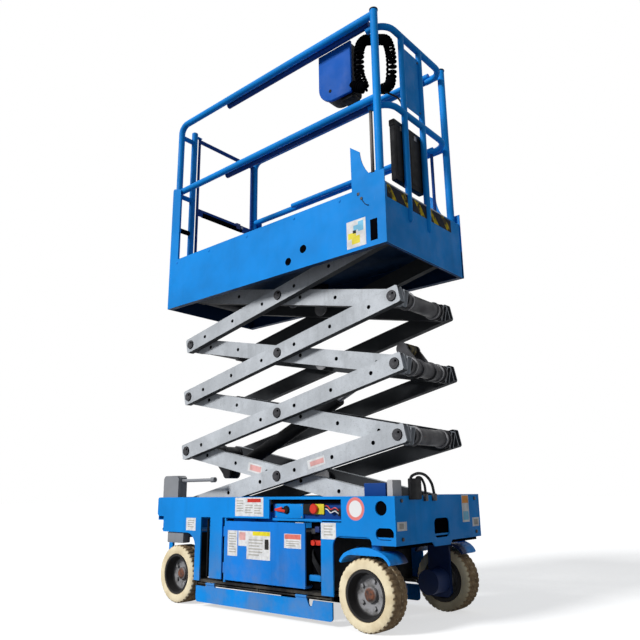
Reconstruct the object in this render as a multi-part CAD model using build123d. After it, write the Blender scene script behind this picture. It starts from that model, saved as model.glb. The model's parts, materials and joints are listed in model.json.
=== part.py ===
"""Electric slab scissor lift: four-stage scissor stack on a low four-wheel chassis.

Millimetres.  +X is the front (the steered end), +Z is up and -Y is the side with the ground
controls.  The origin is on the floor under the middle of the overall length.
"""
from build123d import *
import os
from math import asin, cos, degrees, pi, radians, sin

os.makedirs("parts", exist_ok=True)

# ---------------------------------------------------------------- driving sizes
overall_length = 1830
overall_width = 760
half_length = overall_length / 2
half_width = overall_width / 2

# wheels
wheelbase = 1320
front_axle_x = half_length - 200
rear_axle_x = front_axle_x - wheelbase
wheel_radius = 152.5
wheel_width = 114
rim_radius = 104
axle_radius = 28
wheel_y = half_width - wheel_width / 2
wheel_inner_y = half_width - wheel_width

# scissor stack
stage_count = 4
lowered_angle = 3.6       # arm slope, fully lowered
raising_angle = 43.2      # further slope from the pose that is modelled to the highest one
stage_rise = 333.5        # height of one stage as the lift stands
pivot_x = half_length - 80            # column of the right-hand pins, fixed on chassis and platform
lowered_slider_x = 166.1 - half_length
arm_pitch = (pivot_x - lowered_slider_x) / cos(radians(lowered_angle))
arm_depth = 90
arm_thickness = 40
arm_gap = 10              # between an outer and an inner arm
outer_arm_y = half_width - 165        # inner face of an outer arm
inner_arm_y = outer_arm_y - arm_gap - arm_thickness
outer_arm_margin = 42     # arm past its end pin
inner_arm_margin = 36
pin_radius = 20
tube_radius = 40
pin_cap_radius = 26
pin_cap = 5
flange_radius = 46
flange_width = 12
arm_wall = 5
arm_mouth = 15            # depth of the open mouth at a square arm end
roller_radius = 30
roller_width = 36
stack_angle = degrees(asin(stage_rise / arm_pitch))
slider_x = pivot_x - arm_pitch * cos(radians(stack_angle))

# chassis
chassis_front_x = half_length - 25
chassis_rear_x = 112 - half_length
chassis_top_z = 565
chassis_rail_z = chassis_top_z - 105  # lower edge of the upper side rail
rail_overhang = 60                    # upper side rail behind the panel over the rear wheel
chassis_shelf_z = 2 * wheel_radius + 79          # lower edge of the panels over the wheels
side_sheet = 8
end_sheet = 5
bay_rear_x = rear_axle_x + 205        # tray bay, rear and front edges
bay_front_x = front_axle_x - 245
pillar_width = 46
front_pillar_width = 71
pillar_foot_z = 133
inner_half = half_width - side_sheet
spine_half_width = half_width - 260
spine_floor_z = 100
base_pin_z = chassis_top_z - 62
top_pin_z = base_pin_z + stage_count * stage_rise

# swing-out trays
tray_hinge_x = bay_rear_x + 194
tray_hinge_y = half_width - 13
tray_front_x = bay_front_x - 99
tray_floor_z = pillar_foot_z + 19
tray_top_z = chassis_rail_z - 17
tray_inner_y = spine_half_width + 20

# pothole guards
guard_axis_y = half_width - 20
guard_axis_z = 117
guard_bottom_z = 24
guard_rear_x = bay_rear_x - 45
guard_front_x = bay_front_x + 50
guard_sheet = 8

# steering
kingpin_y = wheel_inner_y + 9
kingpin_radius = 20
steer_arm = 110
yoke_plate_z = 2 * wheel_radius + 10
yoke_sheet = 13

# platform
platform_front_x = half_length - 11
platform_rear_x = 99 - half_length
platform_half_width = half_width - 5
platform_bottom_z = top_pin_z - 105
deck_z = top_pin_z + 60   # top of the fixed deck
deck_sheet = 8
toe_board_z = deck_z + 158
platform_sheet = 5
rail_radius = 21
rail_bend = 60            # centreline radius of a bent rail corner
mid_rail_z = deck_z + 653
top_rail_z = deck_z + 1158
rail_y = platform_half_width - platform_sheet - rail_radius - 1
rear_post_x = platform_rear_x + 30
front_post_x = platform_front_x - 43
gate_post_y = rail_y - 110

# extension deck
extension_travel = 910
extension_front_x = half_length
extension_rear_x = -60
extension_tube = 18
extension_bend = 90       # centreline radius of the front rail corners
extension_top_rail_z = top_rail_z - 45
extension_mid_rail_z = mid_rail_z - 80
extension_post_x = extension_front_x - extension_tube
extension_corner_x = extension_post_x - extension_bend

# fits
pin_clearance = 0.25
bearing_clearance = 0.1
seat_clearance = 0.3
safe_gap = 5
extension_rail_y = rail_y - rail_radius - extension_tube - safe_gap
extension_half_width = rail_y - rail_radius - safe_gap

parts = {}


# ---------------------------------------------------------------- helpers
def keep(name, *shapes):
    """Collect every solid of the shapes under one node name."""
    solids = parts.setdefault(name, [])
    for shape in shapes:
        solids.extend(shape.solids())


def block(x_range, y_range, z_range):
    sizes = [high - low for low, high in (x_range, y_range, z_range)]
    middle = [(high + low) / 2 for low, high in (x_range, y_range, z_range)]
    return Pos(*middle) * Box(*sizes)


def bar(start, end, radius):
    axis = Vector(*end) - Vector(*start)
    return Part() + Solid.make_cylinder(radius, axis.length, Plane(origin=start, z_dir=axis))


def plate_xz(points, y_range):
    """Sheet with an outline in the X-Z plane, between two Y faces."""
    outline = [(x, y_range[0], z) for x, z in points]
    face = Face(Wire.make_polygon(outline, close=True))
    return Part() + Solid.extrude(face, Vector(0, y_range[1] - y_range[0], 0))


def plate_yz(points, x_range):
    """Sheet with an outline in the Y-Z plane, between two X faces."""
    outline = [(x_range[0], y, z) for y, z in points]
    face = Face(Wire.make_polygon(outline, close=True))
    return Part() + Solid.extrude(face, Vector(x_range[1] - x_range[0], 0, 0))


def curved_xz(start, steps, y_range):
    """Sheet whose outline has lines and arcs: a step is its end, or a point on its arc and its end."""
    edges = []
    here = (start[0], y_range[0], start[1])
    for step in [*steps, (start,)]:
        points = [(x, y_range[0], z) for x, z in step]
        maker = Edge.make_line if len(points) == 1 else Edge.make_three_point_arc
        edges.append(maker(here, *points))
        here = points[-1]
    face = Face(Wire(edges))
    return Part() + Solid.extrude(face, Vector(0, y_range[1] - y_range[0], 0))


def bent_bar(points, bend, radius):
    """Round tube along straight runs whose corners are bent to one centreline radius."""
    path = FilletPolyline(*points, radius=bend)
    section = Plane(origin=points[0], z_dir=Vector(*points[1]) - Vector(*points[0])) * Circle(radius)
    return Part() + sweep(section, path)


def prism(centre, across, depth, sides=6):
    """Bolt head or nut with its axis along Y, from centre outward by depth (signed)."""
    corners = [(centre[0] + across * cos(2 * pi * k / sides), centre[1], centre[2] + across * sin(2 * pi * k / sides))
               for k in range(sides)]
    return Part() + Solid.extrude(Face(Wire.make_polygon(corners, close=True)), Vector(0, depth, 0))


def far(shape):
    """The same piece on the other side of the machine."""
    return shape.mirror(Plane.XZ)


def near_range(inner, outer):
    """Y range of a piece on the near side, given as distances from the middle."""
    return (-outer, -inner)


# ---------------------------------------------------------------- scissor stack
def arm_frame(kind, stage):
    """Plane at the middle of an arm: its x runs to the right-hand end, its z is upward."""
    middle_z = base_pin_z + (stage - 0.5) * stage_rise
    slope = stack_angle if kind == "outer" else -stack_angle
    middle_x = (pivot_x + slider_x) / 2
    return Pos(middle_x, 0, middle_z) * Rot(0, -slope, 0)


def arm(kind, round_end=0):
    """One near-side arm in its own frame, with a hole for each of its three pins.

    round_end is 1 or -1 for a right-hand or left-hand end that is rounded about its pin.
    """
    inner_y = outer_arm_y if kind == "outer" else inner_arm_y
    margin = outer_arm_margin if kind == "outer" else inner_arm_margin
    bore = pin_radius + (pin_clearance if kind == "outer" else bearing_clearance)
    y_range = near_range(inner_y, inner_y + arm_thickness)
    depth = (-arm_depth / 2, arm_depth / 2)
    ends = [-arm_pitch / 2 - margin, arm_pitch / 2 + margin]
    if round_end:
        ends[(round_end + 1) // 2] = round_end * arm_pitch / 2
    beam = block(ends, y_range, depth)
    square_ends = [edge for edge in beam.edges().filter_by(Axis.Y)
                   if edge.center().X * round_end < arm_pitch / 2 - 1]
    beam = fillet(square_ends, 12)
    if round_end:
        tip_x = round_end * arm_pitch / 2
        beam += bar((tip_x, y_range[0], 0), (tip_x, y_range[1], 0), arm_depth / 2)
    for x in (-arm_pitch / 2, 0, arm_pitch / 2):
        beam -= bar((x, y_range[0] - 1, 0), (x, y_range[1] + 1, 0), bore)
    for end in (-1, 1):
        if end != round_end:
            mouth_x = sorted((end * (arm_pitch / 2 + margin + 1), end * (arm_pitch / 2 + margin - arm_mouth)))
            beam -= block(mouth_x, (y_range[0] + arm_wall, y_range[1] - arm_wall),
                          (depth[0] + arm_wall, depth[1] - arm_wall))
    return beam


def end_shaft(x, outer_end, cap=True, flanges=True):
    """Cross tube between the inner arms with pin ends that carry the outer arms."""
    tube_end = inner_arm_y - bearing_clearance
    shaft = bar((x, -tube_end, 0), (x, tube_end, 0), tube_radius)
    if flanges:
        for side in (-1, 1):
            shaft += bar((x, side * (tube_end - flange_width), 0), (x, side * tube_end, 0), flange_radius)
    shaft += bar((x, -outer_end, 0), (x, outer_end, 0), pin_radius)
    if cap:
        for side in (-1, 1):
            face = side * (outer_arm_y + arm_thickness + 2)
            shaft += bar((x, face, 0), (x, face + side * pin_cap, 0), pin_cap_radius)
    return shaft


pin_end = outer_arm_y + arm_thickness + 2 + pin_cap
roller_end = pin_end + roller_width

# lift cylinder: pinned to the stage 1 inner arms, its rod reaching the stage 3 inner arms
barrel_eye = (156.4 - arm_pitch / 2, -101.9)      # along and across the stage 1 inner arm
rod_eye = (arm_pitch / 2 - 103.8, 94.1)           # the same on the stage 3 inner arm
eye_radius = 32
eye_half_width = 28
eye_pin_radius = 16
barrel_radius = 40
barrel_start = 130
barrel_length = 820
rod_radius = 22
lug_sheet = 12
barrel_lug_y = 32
rod_lug_y = 52


def arm_point(kind, stage, along, across):
    place = arm_frame(kind, stage) * Pos(along, 0, across)
    return place.position


def lug(tube_x, eye, inner_y):
    """Pair of link plates, in an arm's frame, from its cross tube to a cylinder eye."""
    plates = []
    for side in (-1, 1):
        y_low, y_high = sorted((side * inner_y, side * (inner_y + lug_sheet)))
        plate = bar((tube_x, y_low, 0), (tube_x, y_high, 0), tube_radius + 8)
        plate += bar((eye[0], y_low, eye[1]), (eye[0], y_high, eye[1]), eye_radius)
        run = Vector(eye[0] - tube_x, 0, eye[1])
        across = Vector(run.Z, 0, -run.X).normalized() * (eye_radius - 6)
        corners = [Vector(tube_x, y_low, 0) + across, Vector(tube_x, y_low, 0) - across]
        corners += [Vector(eye[0], y_low, eye[1]) - across, Vector(eye[0], y_low, eye[1]) + across]
        web = Face(Wire.make_polygon(corners, close=True))
        plate += Solid.extrude(web, Vector(0, y_high - y_low, 0))
        plates.append(plate)
    return plates


for stage in range(1, stage_count + 1):
    outer_place = arm_frame("outer", stage)
    inner_place = arm_frame("inner", stage)
    # the ends next to the chassis front wall and under the platform deck are rounded
    outer = outer_place * arm("outer", 1 if stage == stage_count else 0)
    inner = inner_place * arm("inner", {1: 1, stage_count: -1}.get(stage, 0))
    keep(f"outer_arms_{stage}", outer, far(outer))
    keep(f"inner_arms_{stage}", inner, far(inner))

    right_end = outer_arm_y + 13 if stage == 1 else pin_end
    left_end = roller_end if stage == stage_count else pin_end
    right_shaft = end_shaft(arm_pitch / 2, right_end, cap=stage > 1, flanges=stage > 1)
    left_shaft = end_shaft(-arm_pitch / 2, left_end)
    if stage == stage_count:
        for side in (-1, 1):
            roller_face = (-arm_pitch / 2, side * pin_end, 0)
            left_shaft += bar(roller_face, (-arm_pitch / 2, side * roller_end, 0), roller_radius)
    if stage == 1:
        for plate in lug(-arm_pitch / 2, barrel_eye, barrel_lug_y):
            left_shaft += plate
        left_shaft += bar((barrel_eye[0], -barrel_lug_y - 1, barrel_eye[1]),
                          (barrel_eye[0], barrel_lug_y + 1, barrel_eye[1]), eye_pin_radius)
    if stage == 3:
        for plate in lug(arm_pitch / 2, rod_eye, rod_lug_y):
            right_shaft += plate
    keep(f"cross_tubes_{stage}", inner_place * right_shaft, inner_place * left_shaft)
    for side in (-1, 1):
        centre_pin = bar((0, side * (inner_arm_y - 5), 0), (0, side * pin_end, 0), pin_radius)
        cap_face = side * (outer_arm_y + arm_thickness + 2)
        centre_pin += bar((0, cap_face, 0), (0, side * pin_end, 0), pin_cap_radius)
        keep(f"cross_tubes_{stage}", inner_place * centre_pin)

# sliding end of the stage 1 outer arms: a pin and roller in each chassis track
for side in (-1, 1):
    slider = bar((slider_x, side * (outer_arm_y - 5), base_pin_z),
                 (slider_x, side * roller_end, base_pin_z), pin_radius)
    slider += bar((slider_x, side * pin_end, base_pin_z),
                  (slider_x, side * roller_end, base_pin_z), roller_radius)
    keep("base_rollers", slider)

cylinder_foot = arm_point("inner", 1, *barrel_eye)
cylinder_head = arm_point("inner", 3, *rod_eye)
cylinder_run = cylinder_head - cylinder_foot
cylinder_angle = degrees(asin(cylinder_run.Z / cylinder_run.length))
cylinder_place = Pos(*cylinder_foot) * Rot(0, -cylinder_angle, 0)
cylinder_length = cylinder_run.length

barrel = bar((0, -eye_half_width, 0), (0, eye_half_width, 0), eye_radius)
barrel += bar((0, 0, 0), (barrel_start, 0, 0), rod_radius)
barrel += bar((barrel_start, 0, 0), (barrel_start + barrel_length, 0, 0), barrel_radius)
barrel -= bar((0, -eye_half_width - 1, 0), (0, eye_half_width + 1, 0),
              eye_pin_radius + bearing_clearance)
barrel -= bar((barrel_start + 20, 0, 0), (barrel_start + barrel_length + 1, 0, 0),
              rod_radius + bearing_clearance)
keep("cylinder_barrel", cylinder_place * barrel)

rod_start = barrel_start + 300
rod = bar((rod_start, 0, 0), (cylinder_length, 0, 0), rod_radius)
rod += bar((cylinder_length, -eye_half_width, 0), (cylinder_length, eye_half_width, 0), eye_radius)
rod += bar((cylinder_length, -rod_lug_y + 6, 0), (cylinder_length, rod_lug_y - 6, 0), eye_pin_radius)
keep("cylinder_rod", cylinder_place * rod)

# ---------------------------------------------------------------- chassis
control_rear_x = bay_front_x - 340
control_front_x = bay_front_x + 124
control_bottom_z = chassis_top_z - 115
control_top_z = chassis_top_z - 13
arch_top_z = chassis_shelf_z + 8
arch_corner = 75          # radius of the corner behind the rear wheel arch
front_foot_z = chassis_shelf_z - 24
tie_down_x = chassis_front_x - 74
tie_down_z = chassis_top_z - 51
tie_down_radius = 31
panel_foot_z = chassis_shelf_z - 9    # lower edge of the panel over the rear wheel
arc_inset = 1 - cos(radians(45))      # middle of a quarter arc, as a share of its radius in from the corner


def side_plate(with_controls):
    """Near chassis side: upper rail, panels over the wheels, pillars round the tray bay."""
    pillar_rear_x = bay_rear_x - pillar_width
    pillar_front_x = bay_front_x + front_pillar_width
    panel_x = chassis_rear_x + rail_overhang
    outline = [
        [(chassis_rear_x + 12, chassis_rail_z)],
        [(panel_x, chassis_rail_z)],
        [(panel_x, panel_foot_z)],
        [(pillar_rear_x - arch_corner, panel_foot_z)],
        [(pillar_rear_x - arc_inset * arch_corner, panel_foot_z - arc_inset * arch_corner),
         (pillar_rear_x, panel_foot_z - arch_corner)],
        [(pillar_rear_x, pillar_foot_z)],
        [(bay_rear_x, pillar_foot_z)],
        [(bay_rear_x, chassis_rail_z)],
    ]
    if with_controls:
        outline += [
            [(control_rear_x, chassis_rail_z)],
            [(control_rear_x, control_top_z)],
            [(control_front_x, control_top_z)],
            [(control_front_x, control_bottom_z)],
            [(bay_front_x, control_bottom_z)],
        ]
    else:
        outline += [[(bay_front_x, chassis_rail_z)]]
    outline += [
        [(bay_front_x, pillar_foot_z)],
        [(pillar_front_x, pillar_foot_z)],
        [(pillar_front_x, arch_top_z - 44)],
        [(pillar_front_x + 13, arch_top_z - 13), (pillar_front_x + 44, arch_top_z)],
        [(front_axle_x + 20, arch_top_z)],
        [(front_axle_x + 38, arch_top_z - 8), (front_axle_x + 46, front_foot_z)],
        [(chassis_front_x, front_foot_z)],
        [(chassis_front_x, chassis_top_z)],
        [(chassis_rear_x + 12, chassis_top_z)],
        [(chassis_rear_x + 4, chassis_top_z - 4), (chassis_rear_x, chassis_top_z - 12)],
    ]
    y_range = near_range(half_width - side_sheet, half_width)
    plate = curved_xz((chassis_rear_x, chassis_rail_z + 12), outline, y_range)
    through = (y_range[0] - 1, y_range[1] + 1)
    plate -= bar((tie_down_x, through[0], tie_down_z), (tie_down_x, through[1], tie_down_z),
                 tie_down_radius)
    slot_x = (chassis_front_x - 81, chassis_front_x - 35)
    slot_z = chassis_shelf_z + 23
    slot = block(slot_x, through, (slot_z - 25, slot_z + 25))
    for x in slot_x:
        slot += bar((x, through[0], slot_z), (x, through[1], slot_z), 25)
    return plate - slot


fixed_panel = block((bay_rear_x + 79, tray_hinge_x - 18),
                    near_range(half_width - side_sheet, half_width),
                    (tray_floor_z, chassis_rail_z))
keep("chassis_sides", side_plate(True) + fixed_panel, far(side_plate(False) + fixed_panel))

front_wall_x = chassis_front_x - end_sheet
boss_half = 89
boss_drop = 20
window = ((-67, 67), (front_foot_z + 16, front_foot_z + 102))
window_corner = 24
front_wall = block((front_wall_x, chassis_front_x), (-inner_half, inner_half), (front_foot_z, chassis_top_z))
boss = plate_yz([(-boss_half, front_foot_z), (-boss_half + boss_drop, front_foot_z - boss_drop),
                 (boss_half - boss_drop, front_foot_z - boss_drop), (boss_half, front_foot_z)],
                (front_wall_x, chassis_front_x))
opening = block((front_wall_x - 1, chassis_front_x + 1), *window)
front_wall = front_wall + boss - fillet(opening.edges().filter_by(Axis.X), window_corner)
step_z = chassis_rail_z - 22
panel_rear_x = chassis_rear_x + rail_overhang
rear_wall = block((chassis_rear_x, chassis_rear_x + end_sheet), (-inner_half, inner_half),
                  (step_z, chassis_top_z))
rear_wall += block((chassis_rear_x, panel_rear_x), (-inner_half, inner_half), (step_z, step_z + end_sheet))
rear_wall += block((panel_rear_x, panel_rear_x + end_sheet), (-inner_half, inner_half),
                   (panel_foot_z, step_z + end_sheet))
keep("chassis_ends", front_wall, rear_wall)

shelf_front_z = (arch_top_z - 7, arch_top_z + 1)
bulkhead = 8
front_shelf = block((bay_front_x, front_wall_x), (-inner_half, inner_half), shelf_front_z)
housing_top_z = yoke_plate_z + 140
for side in (-1, 1):
    front_shelf += bar((front_axle_x, side * kingpin_y, shelf_front_z[0]),
                       (front_axle_x, side * kingpin_y, housing_top_z), kingpin_radius + 18)
    front_shelf -= bar((front_axle_x, side * kingpin_y, shelf_front_z[0] - 1),
                       (front_axle_x, side * kingpin_y, housing_top_z + 1),
                       kingpin_radius + bearing_clearance)
bay_start = bay_rear_x - pillar_width
bay_top = chassis_shelf_z - 8
rear_shelf = block((panel_rear_x + end_sheet, bay_start), (-inner_half, inner_half),
                   (bay_top, chassis_shelf_z))
keep("chassis_shelves", front_shelf, rear_shelf)

sill_z = (guard_axis_z + 11, guard_axis_z + 23)
lug_count = 3
spine = block((bay_start, bay_front_x), (-spine_half_width, spine_half_width), (spine_floor_z, bay_top))
for x in (bay_start, bay_front_x - bulkhead):
    spine += block((x, x + bulkhead), (-inner_half, inner_half), (sill_z[1], bay_top))
keep("chassis_spine", spine)
guard_length = guard_front_x - guard_rear_x
for side in (-1, 1):
    y_low, y_high = sorted((side * (guard_axis_y - 60), side * inner_half))
    sill = block((bay_start, bay_front_x + 60), (y_low, y_high), sill_z)
    axis_y = side * guard_axis_y
    sill += bar((guard_rear_x, axis_y, guard_axis_z), (guard_front_x, axis_y, guard_axis_z), 4)
    for step in range(lug_count):
        x = guard_rear_x + 6 + step * (guard_length - 12) / (lug_count - 1)
        sill += block((x - 6, x + 6), (axis_y - 7, axis_y + 7), (guard_axis_z - 7, sill_z[0]))
    keep("guard_sills", sill)
    hinge_rod = ((tray_hinge_x, side * tray_hinge_y, z) for z in (sill_z[1], chassis_rail_z))
    keep("tray_hinge_rods", bar(*hinge_rod, 8))

# lower tracks for the base rollers, and brackets for the fixed pivot
track_gap = 1.5
track_sheet = 6
track_inner_y = pin_end - 2
track_outer_y = roller_end + 2
raised_angle = stack_angle + raising_angle
raised_slider_x = pivot_x - arm_pitch * cos(radians(raised_angle))
track_x = (lowered_slider_x - roller_radius - safe_gap, raised_slider_x + roller_radius + safe_gap)


def roller_track(pin_z):
    """Near-side channel, open towards the middle, that a roller runs in."""
    gap = roller_radius + track_gap
    web = block(track_x, near_range(track_outer_y, track_outer_y + track_sheet),
                (pin_z - gap - track_sheet, pin_z + gap + track_sheet))
    flanges = near_range(track_inner_y, track_outer_y)
    web += block(track_x, flanges, (pin_z + gap, pin_z + gap + track_sheet))
    web += block(track_x, flanges, (pin_z - gap - track_sheet, pin_z - gap))
    return web


base_track = roller_track(base_pin_z)
for x in (track_x[0] + 60, (track_x[0] + track_x[1]) / 2, track_x[1] - 60):
    base_track += block((x - 20, x + 20), near_range(track_outer_y + track_sheet, inner_half),
                        (base_pin_z - 30, base_pin_z + 30))
keep("base_tracks", base_track, far(base_track))

bracket_y = (inner_arm_y + arm_thickness + 3, inner_arm_y + arm_thickness + 23)
pivot_bracket = block((pivot_x - 43, front_wall_x), near_range(*bracket_y),
                      (shelf_front_z[1], base_pin_z + 42))
pivot_bracket -= bar((pivot_x, -bracket_y[1] - 1, base_pin_z), (pivot_x, -bracket_y[0] + 1, base_pin_z),
                     pin_radius + pin_clearance)
keep("base_tracks", pivot_bracket, far(pivot_bracket))

# post on the rear of the near chassis side, with a rod that ends in a knuckle
post_x = (chassis_rear_x + 36, chassis_rear_x + 176)
post_y = (half_width - 70, half_width - side_sheet)
post_top_z = chassis_top_z + 122
post_corner = 24
post_seat = 28            # how far the post reaches down inside the side plate
rod_z = chassis_top_z + 93
rod_tip_x = post_x[1] + 290
rear_post = block(post_x, near_range(*post_y), (chassis_top_z - post_seat, post_top_z))
top_corners = [edge for edge in rear_post.edges().filter_by(Axis.Y) if edge.center().Z > post_top_z - 1]
rear_post = fillet(top_corners, post_corner)
rear_post -= block((post_x[0] + 6, post_x[1] - 6), near_range(post_y[0] - 1, post_y[1] - 6),
                   (chassis_top_z - post_seat - 1, post_top_z - 6))
rod_y = -(post_y[0] + post_y[1]) / 2
rear_post += bar((post_x[1] - 6, rod_y, rod_z), (rod_tip_x, rod_y, rod_z), 9)
rear_post += bar((rod_tip_x - 30, rod_y, rod_z), (rod_tip_x, rod_y, rod_z), 14)
keep("rear_post", rear_post)

# ground controls in their recess on the near side
panel_y = half_width - 42
ground_panel = block((control_rear_x, control_front_x), near_range(panel_y - 4, panel_y),
                     (control_bottom_z, control_top_z + 5))
ground_panel += block((control_rear_x, control_front_x), near_range(panel_y, inner_half),
                      (control_bottom_z - 3, control_bottom_z))
ground_panel += block((control_rear_x + 60, control_rear_x + 236), near_range(panel_y, panel_y + 8),
                      (control_bottom_z + 18, control_top_z - 7))
control_z = chassis_top_z - 56
control_knobs = ((111, 11, 18), (140, 9, 14), (294, 24, 22))    # along the recess, radius, height
for along, radius, height in control_knobs:
    knob_x = control_rear_x + along
    ground_panel += bar((knob_x, -panel_y + 1, control_z), (knob_x, -panel_y - 8 - height, control_z), radius)
keep("ground_controls", ground_panel)

# rear axle beam with a stub for each wheel
beam_half = wheel_inner_y - 26
hanger_half = spine_half_width - 20
axle_beam = block((rear_axle_x - 30, rear_axle_x + 30), (-beam_half, beam_half),
                  (wheel_radius - 32.5, wheel_radius + 32.5))
axle_beam += block((rear_axle_x - 45, bay_start), (-hanger_half, hanger_half), (wheel_radius, bay_top))
stub_end = wheel_inner_y + 46
axle_beam += bar((rear_axle_x, -stub_end, wheel_radius), (rear_axle_x, stub_end, wheel_radius), axle_radius)
keep("rear_axle", axle_beam)

# entry ladder on the rear wall
ladder_half = half_width - 175
ladder_foot_z = 170
rung_pitch = 130
stile_width = 15
stile_x = (-half_length, 35 - half_length)
ladder = Part()
for side in (-1, 1):
    y_range = sorted((side * (ladder_half - stile_width), side * ladder_half))
    ladder += block(stile_x, y_range, (ladder_foot_z, chassis_top_z))
    for z, wall_x in ((chassis_top_z - 65, chassis_rear_x), (chassis_shelf_z + 4, panel_rear_x)):
        ladder += block((stile_x[1], wall_x), y_range, (z, z + 40))
for step in range(3):
    rung_z = ladder_foot_z + 20 + step * rung_pitch
    ladder += block(stile_x, (-ladder_half, ladder_half), (rung_z, rung_z + 25))
keep("entry_ladder", ladder)

# swing-out trays: outer door, floor, and the heavy block each one carries
load_y = (tray_inner_y + 20, inner_half - 12)
battery = ((tray_hinge_x + 36, tray_front_x - 26), load_y, (tray_floor_z + 8, tray_top_z - 43))
hydraulics = ((tray_hinge_x + 56, tray_front_x - 71), load_y, (tray_floor_z + 8, tray_top_z - 63))
tray_edge_x = tray_hinge_x + 9
knuckle_z = ((tray_floor_z + 33, tray_floor_z + 83), (tray_top_z - 78, tray_top_z - 28))
tray = block((tray_edge_x, tray_front_x), near_range(half_width - side_sheet, half_width),
             (tray_floor_z, tray_top_z))
tray += block((tray_edge_x + 7, tray_front_x), near_range(tray_inner_y, half_width - side_sheet),
              (tray_floor_z, tray_floor_z + 8))
for z_range in knuckle_z:
    tray += bar((tray_hinge_x, -tray_hinge_y, z_range[0]), (tray_hinge_x, -tray_hinge_y, z_range[1]), 13)
tray_pin = ((tray_hinge_x, -tray_hinge_y, z) for z in (tray_floor_z - 50, tray_top_z + 50))
tray -= bar(*tray_pin, 8 + bearing_clearance)
keep("tray_near", tray)
keep("tray_far", far(tray))
keep("battery_block", block(battery[0], near_range(*battery[1]), battery[2]))
keep("hydraulic_block", block(hydraulics[0], hydraulics[1], hydraulics[2]))

# pothole guards
guard_tabs = (guard_rear_x + 120, guard_front_x - 190)
guard_top_z = guard_axis_z - 13
notch_x = guard_front_x - 120
guard_outline = [
    [(notch_x - 34, guard_top_z)],
    [(notch_x - 20, guard_top_z - 26)],
    [(notch_x - 4, guard_top_z - 26)],
    [(notch_x + 4, guard_top_z)],
    [(guard_front_x, guard_top_z)],
    [(guard_front_x, guard_bottom_z + 16)],
    [(guard_front_x - 5, guard_bottom_z + 5), (guard_front_x - 16, guard_bottom_z)],
    [(guard_rear_x + 16, guard_bottom_z)],
    [(guard_rear_x + 5, guard_bottom_z + 5), (guard_rear_x, guard_bottom_z + 16)],
]
guard = curved_xz((guard_rear_x, guard_top_z), guard_outline,
                  near_range(guard_axis_y - guard_sheet / 2, guard_axis_y + guard_sheet / 2))
for x in guard_tabs:
    guard += block((x - 35, x + 35),
                   near_range(guard_axis_y - guard_sheet / 2, guard_axis_y + guard_sheet / 2),
                   (guard_axis_z - 13, guard_axis_z))
    guard += bar((x - 35, -guard_axis_y, guard_axis_z), (x + 35, -guard_axis_y, guard_axis_z), 8)
rod_ends = [(x, -guard_axis_y, guard_axis_z) for x in (guard_rear_x - 1, guard_front_x + 1)]
guard -= bar(*rod_ends, 4 + bearing_clearance)
keep("pothole_guard_near", guard)
keep("pothole_guard_far", far(guard))


# ---------------------------------------------------------------- wheels and steering
def revolved(profile, x, side):
    """Revolve (radius, distance outward from the wheel's inner face) points about a wheel axis."""
    points = [(0, side * (wheel_inner_y + d), r) for r, d in profile]
    face = Face(Wire.make_polygon(points, close=True))
    solid = Solid.revolve(face, 360, Axis((0, 0, 0), (0, 1, 0)))
    return Pos(x, 0, wheel_radius) * solid


edge = 12
tyre_profile = [
    (rim_radius, 0), (wheel_radius - edge, 0), (wheel_radius, edge),
    (wheel_radius, wheel_width - edge), (wheel_radius - edge, wheel_width), (rim_radius, wheel_width),
]
bore_radius = axle_radius + bearing_clearance
rim_profile = [
    (0, 58), (bore_radius, 58), (bore_radius, 8), (52, 8), (52, 40), (88, 40), (88, 0), (rim_radius, 0),
    (rim_radius, wheel_width - 2), (94, wheel_width - 2), (88, 72), (84, 62), (34, 59), (32, 74), (20, 82), (0, 82),
]
nut_count = 5
nut_circle = 58
for place, x in (("front", front_axle_x), ("rear", rear_axle_x)):
    for name, side in (("near", -1), ("far", 1)):
        keep(f"tyre_{place}_{name}", revolved(tyre_profile, x, side))
        rim = revolved(rim_profile, x, side)
        for step in range(nut_count):
            angle = 2 * pi * step / nut_count
            seat = (x + nut_circle * cos(angle), side * (wheel_inner_y + 57), wheel_radius + nut_circle * sin(angle))
            rim += prism(seat, 9, side * 14)
        keep(f"rim_{place}_{name}", rim)

yoke_top_z = yoke_plate_z + yoke_sheet
yoke_half = 80
yoke_drop = 60
yoke_outer_y = half_width - 2
leg_y = (wheel_inner_y - 22, wheel_inner_y - 8)
yoke_rise = 20            # crown of the fender over its flat plate
tip_z = yoke_plate_z - 30
shoulder = (yoke_half + yoke_drop, yoke_half + 37)
yoke_outline = [
    [(front_axle_x - shoulder[1], yoke_top_z - 12), (front_axle_x - yoke_half, yoke_top_z)],
    [(front_axle_x + yoke_half, yoke_top_z)],
    [(front_axle_x + shoulder[1], yoke_top_z - 12), (front_axle_x + shoulder[0], tip_z)],
    [(front_axle_x + shoulder[0] - 10, tip_z - 6)],
    [(front_axle_x + shoulder[1] - 10, yoke_plate_z - 10), (front_axle_x + yoke_half - 6, yoke_plate_z)],
    [(front_axle_x - yoke_half + 6, yoke_plate_z)],
    [(front_axle_x - shoulder[1] + 10, yoke_plate_z - 10), (front_axle_x - shoulder[0] + 10, tip_z - 6)],
]
yoke = curved_xz((front_axle_x - shoulder[0], tip_z), yoke_outline, near_range(leg_y[0], yoke_outer_y))
crown = [
    [(front_axle_x, yoke_top_z + yoke_rise), (front_axle_x + yoke_half + 36, yoke_top_z - 10)],
    [(front_axle_x + yoke_half + 20, yoke_top_z - 12)],
    [(front_axle_x, yoke_top_z - 6), (front_axle_x - yoke_half - 20, yoke_top_z - 12)],
]
yoke += curved_xz((front_axle_x - yoke_half - 36, yoke_top_z - 10), crown,
                  near_range(yoke_outer_y - yoke_sheet, yoke_outer_y))
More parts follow.
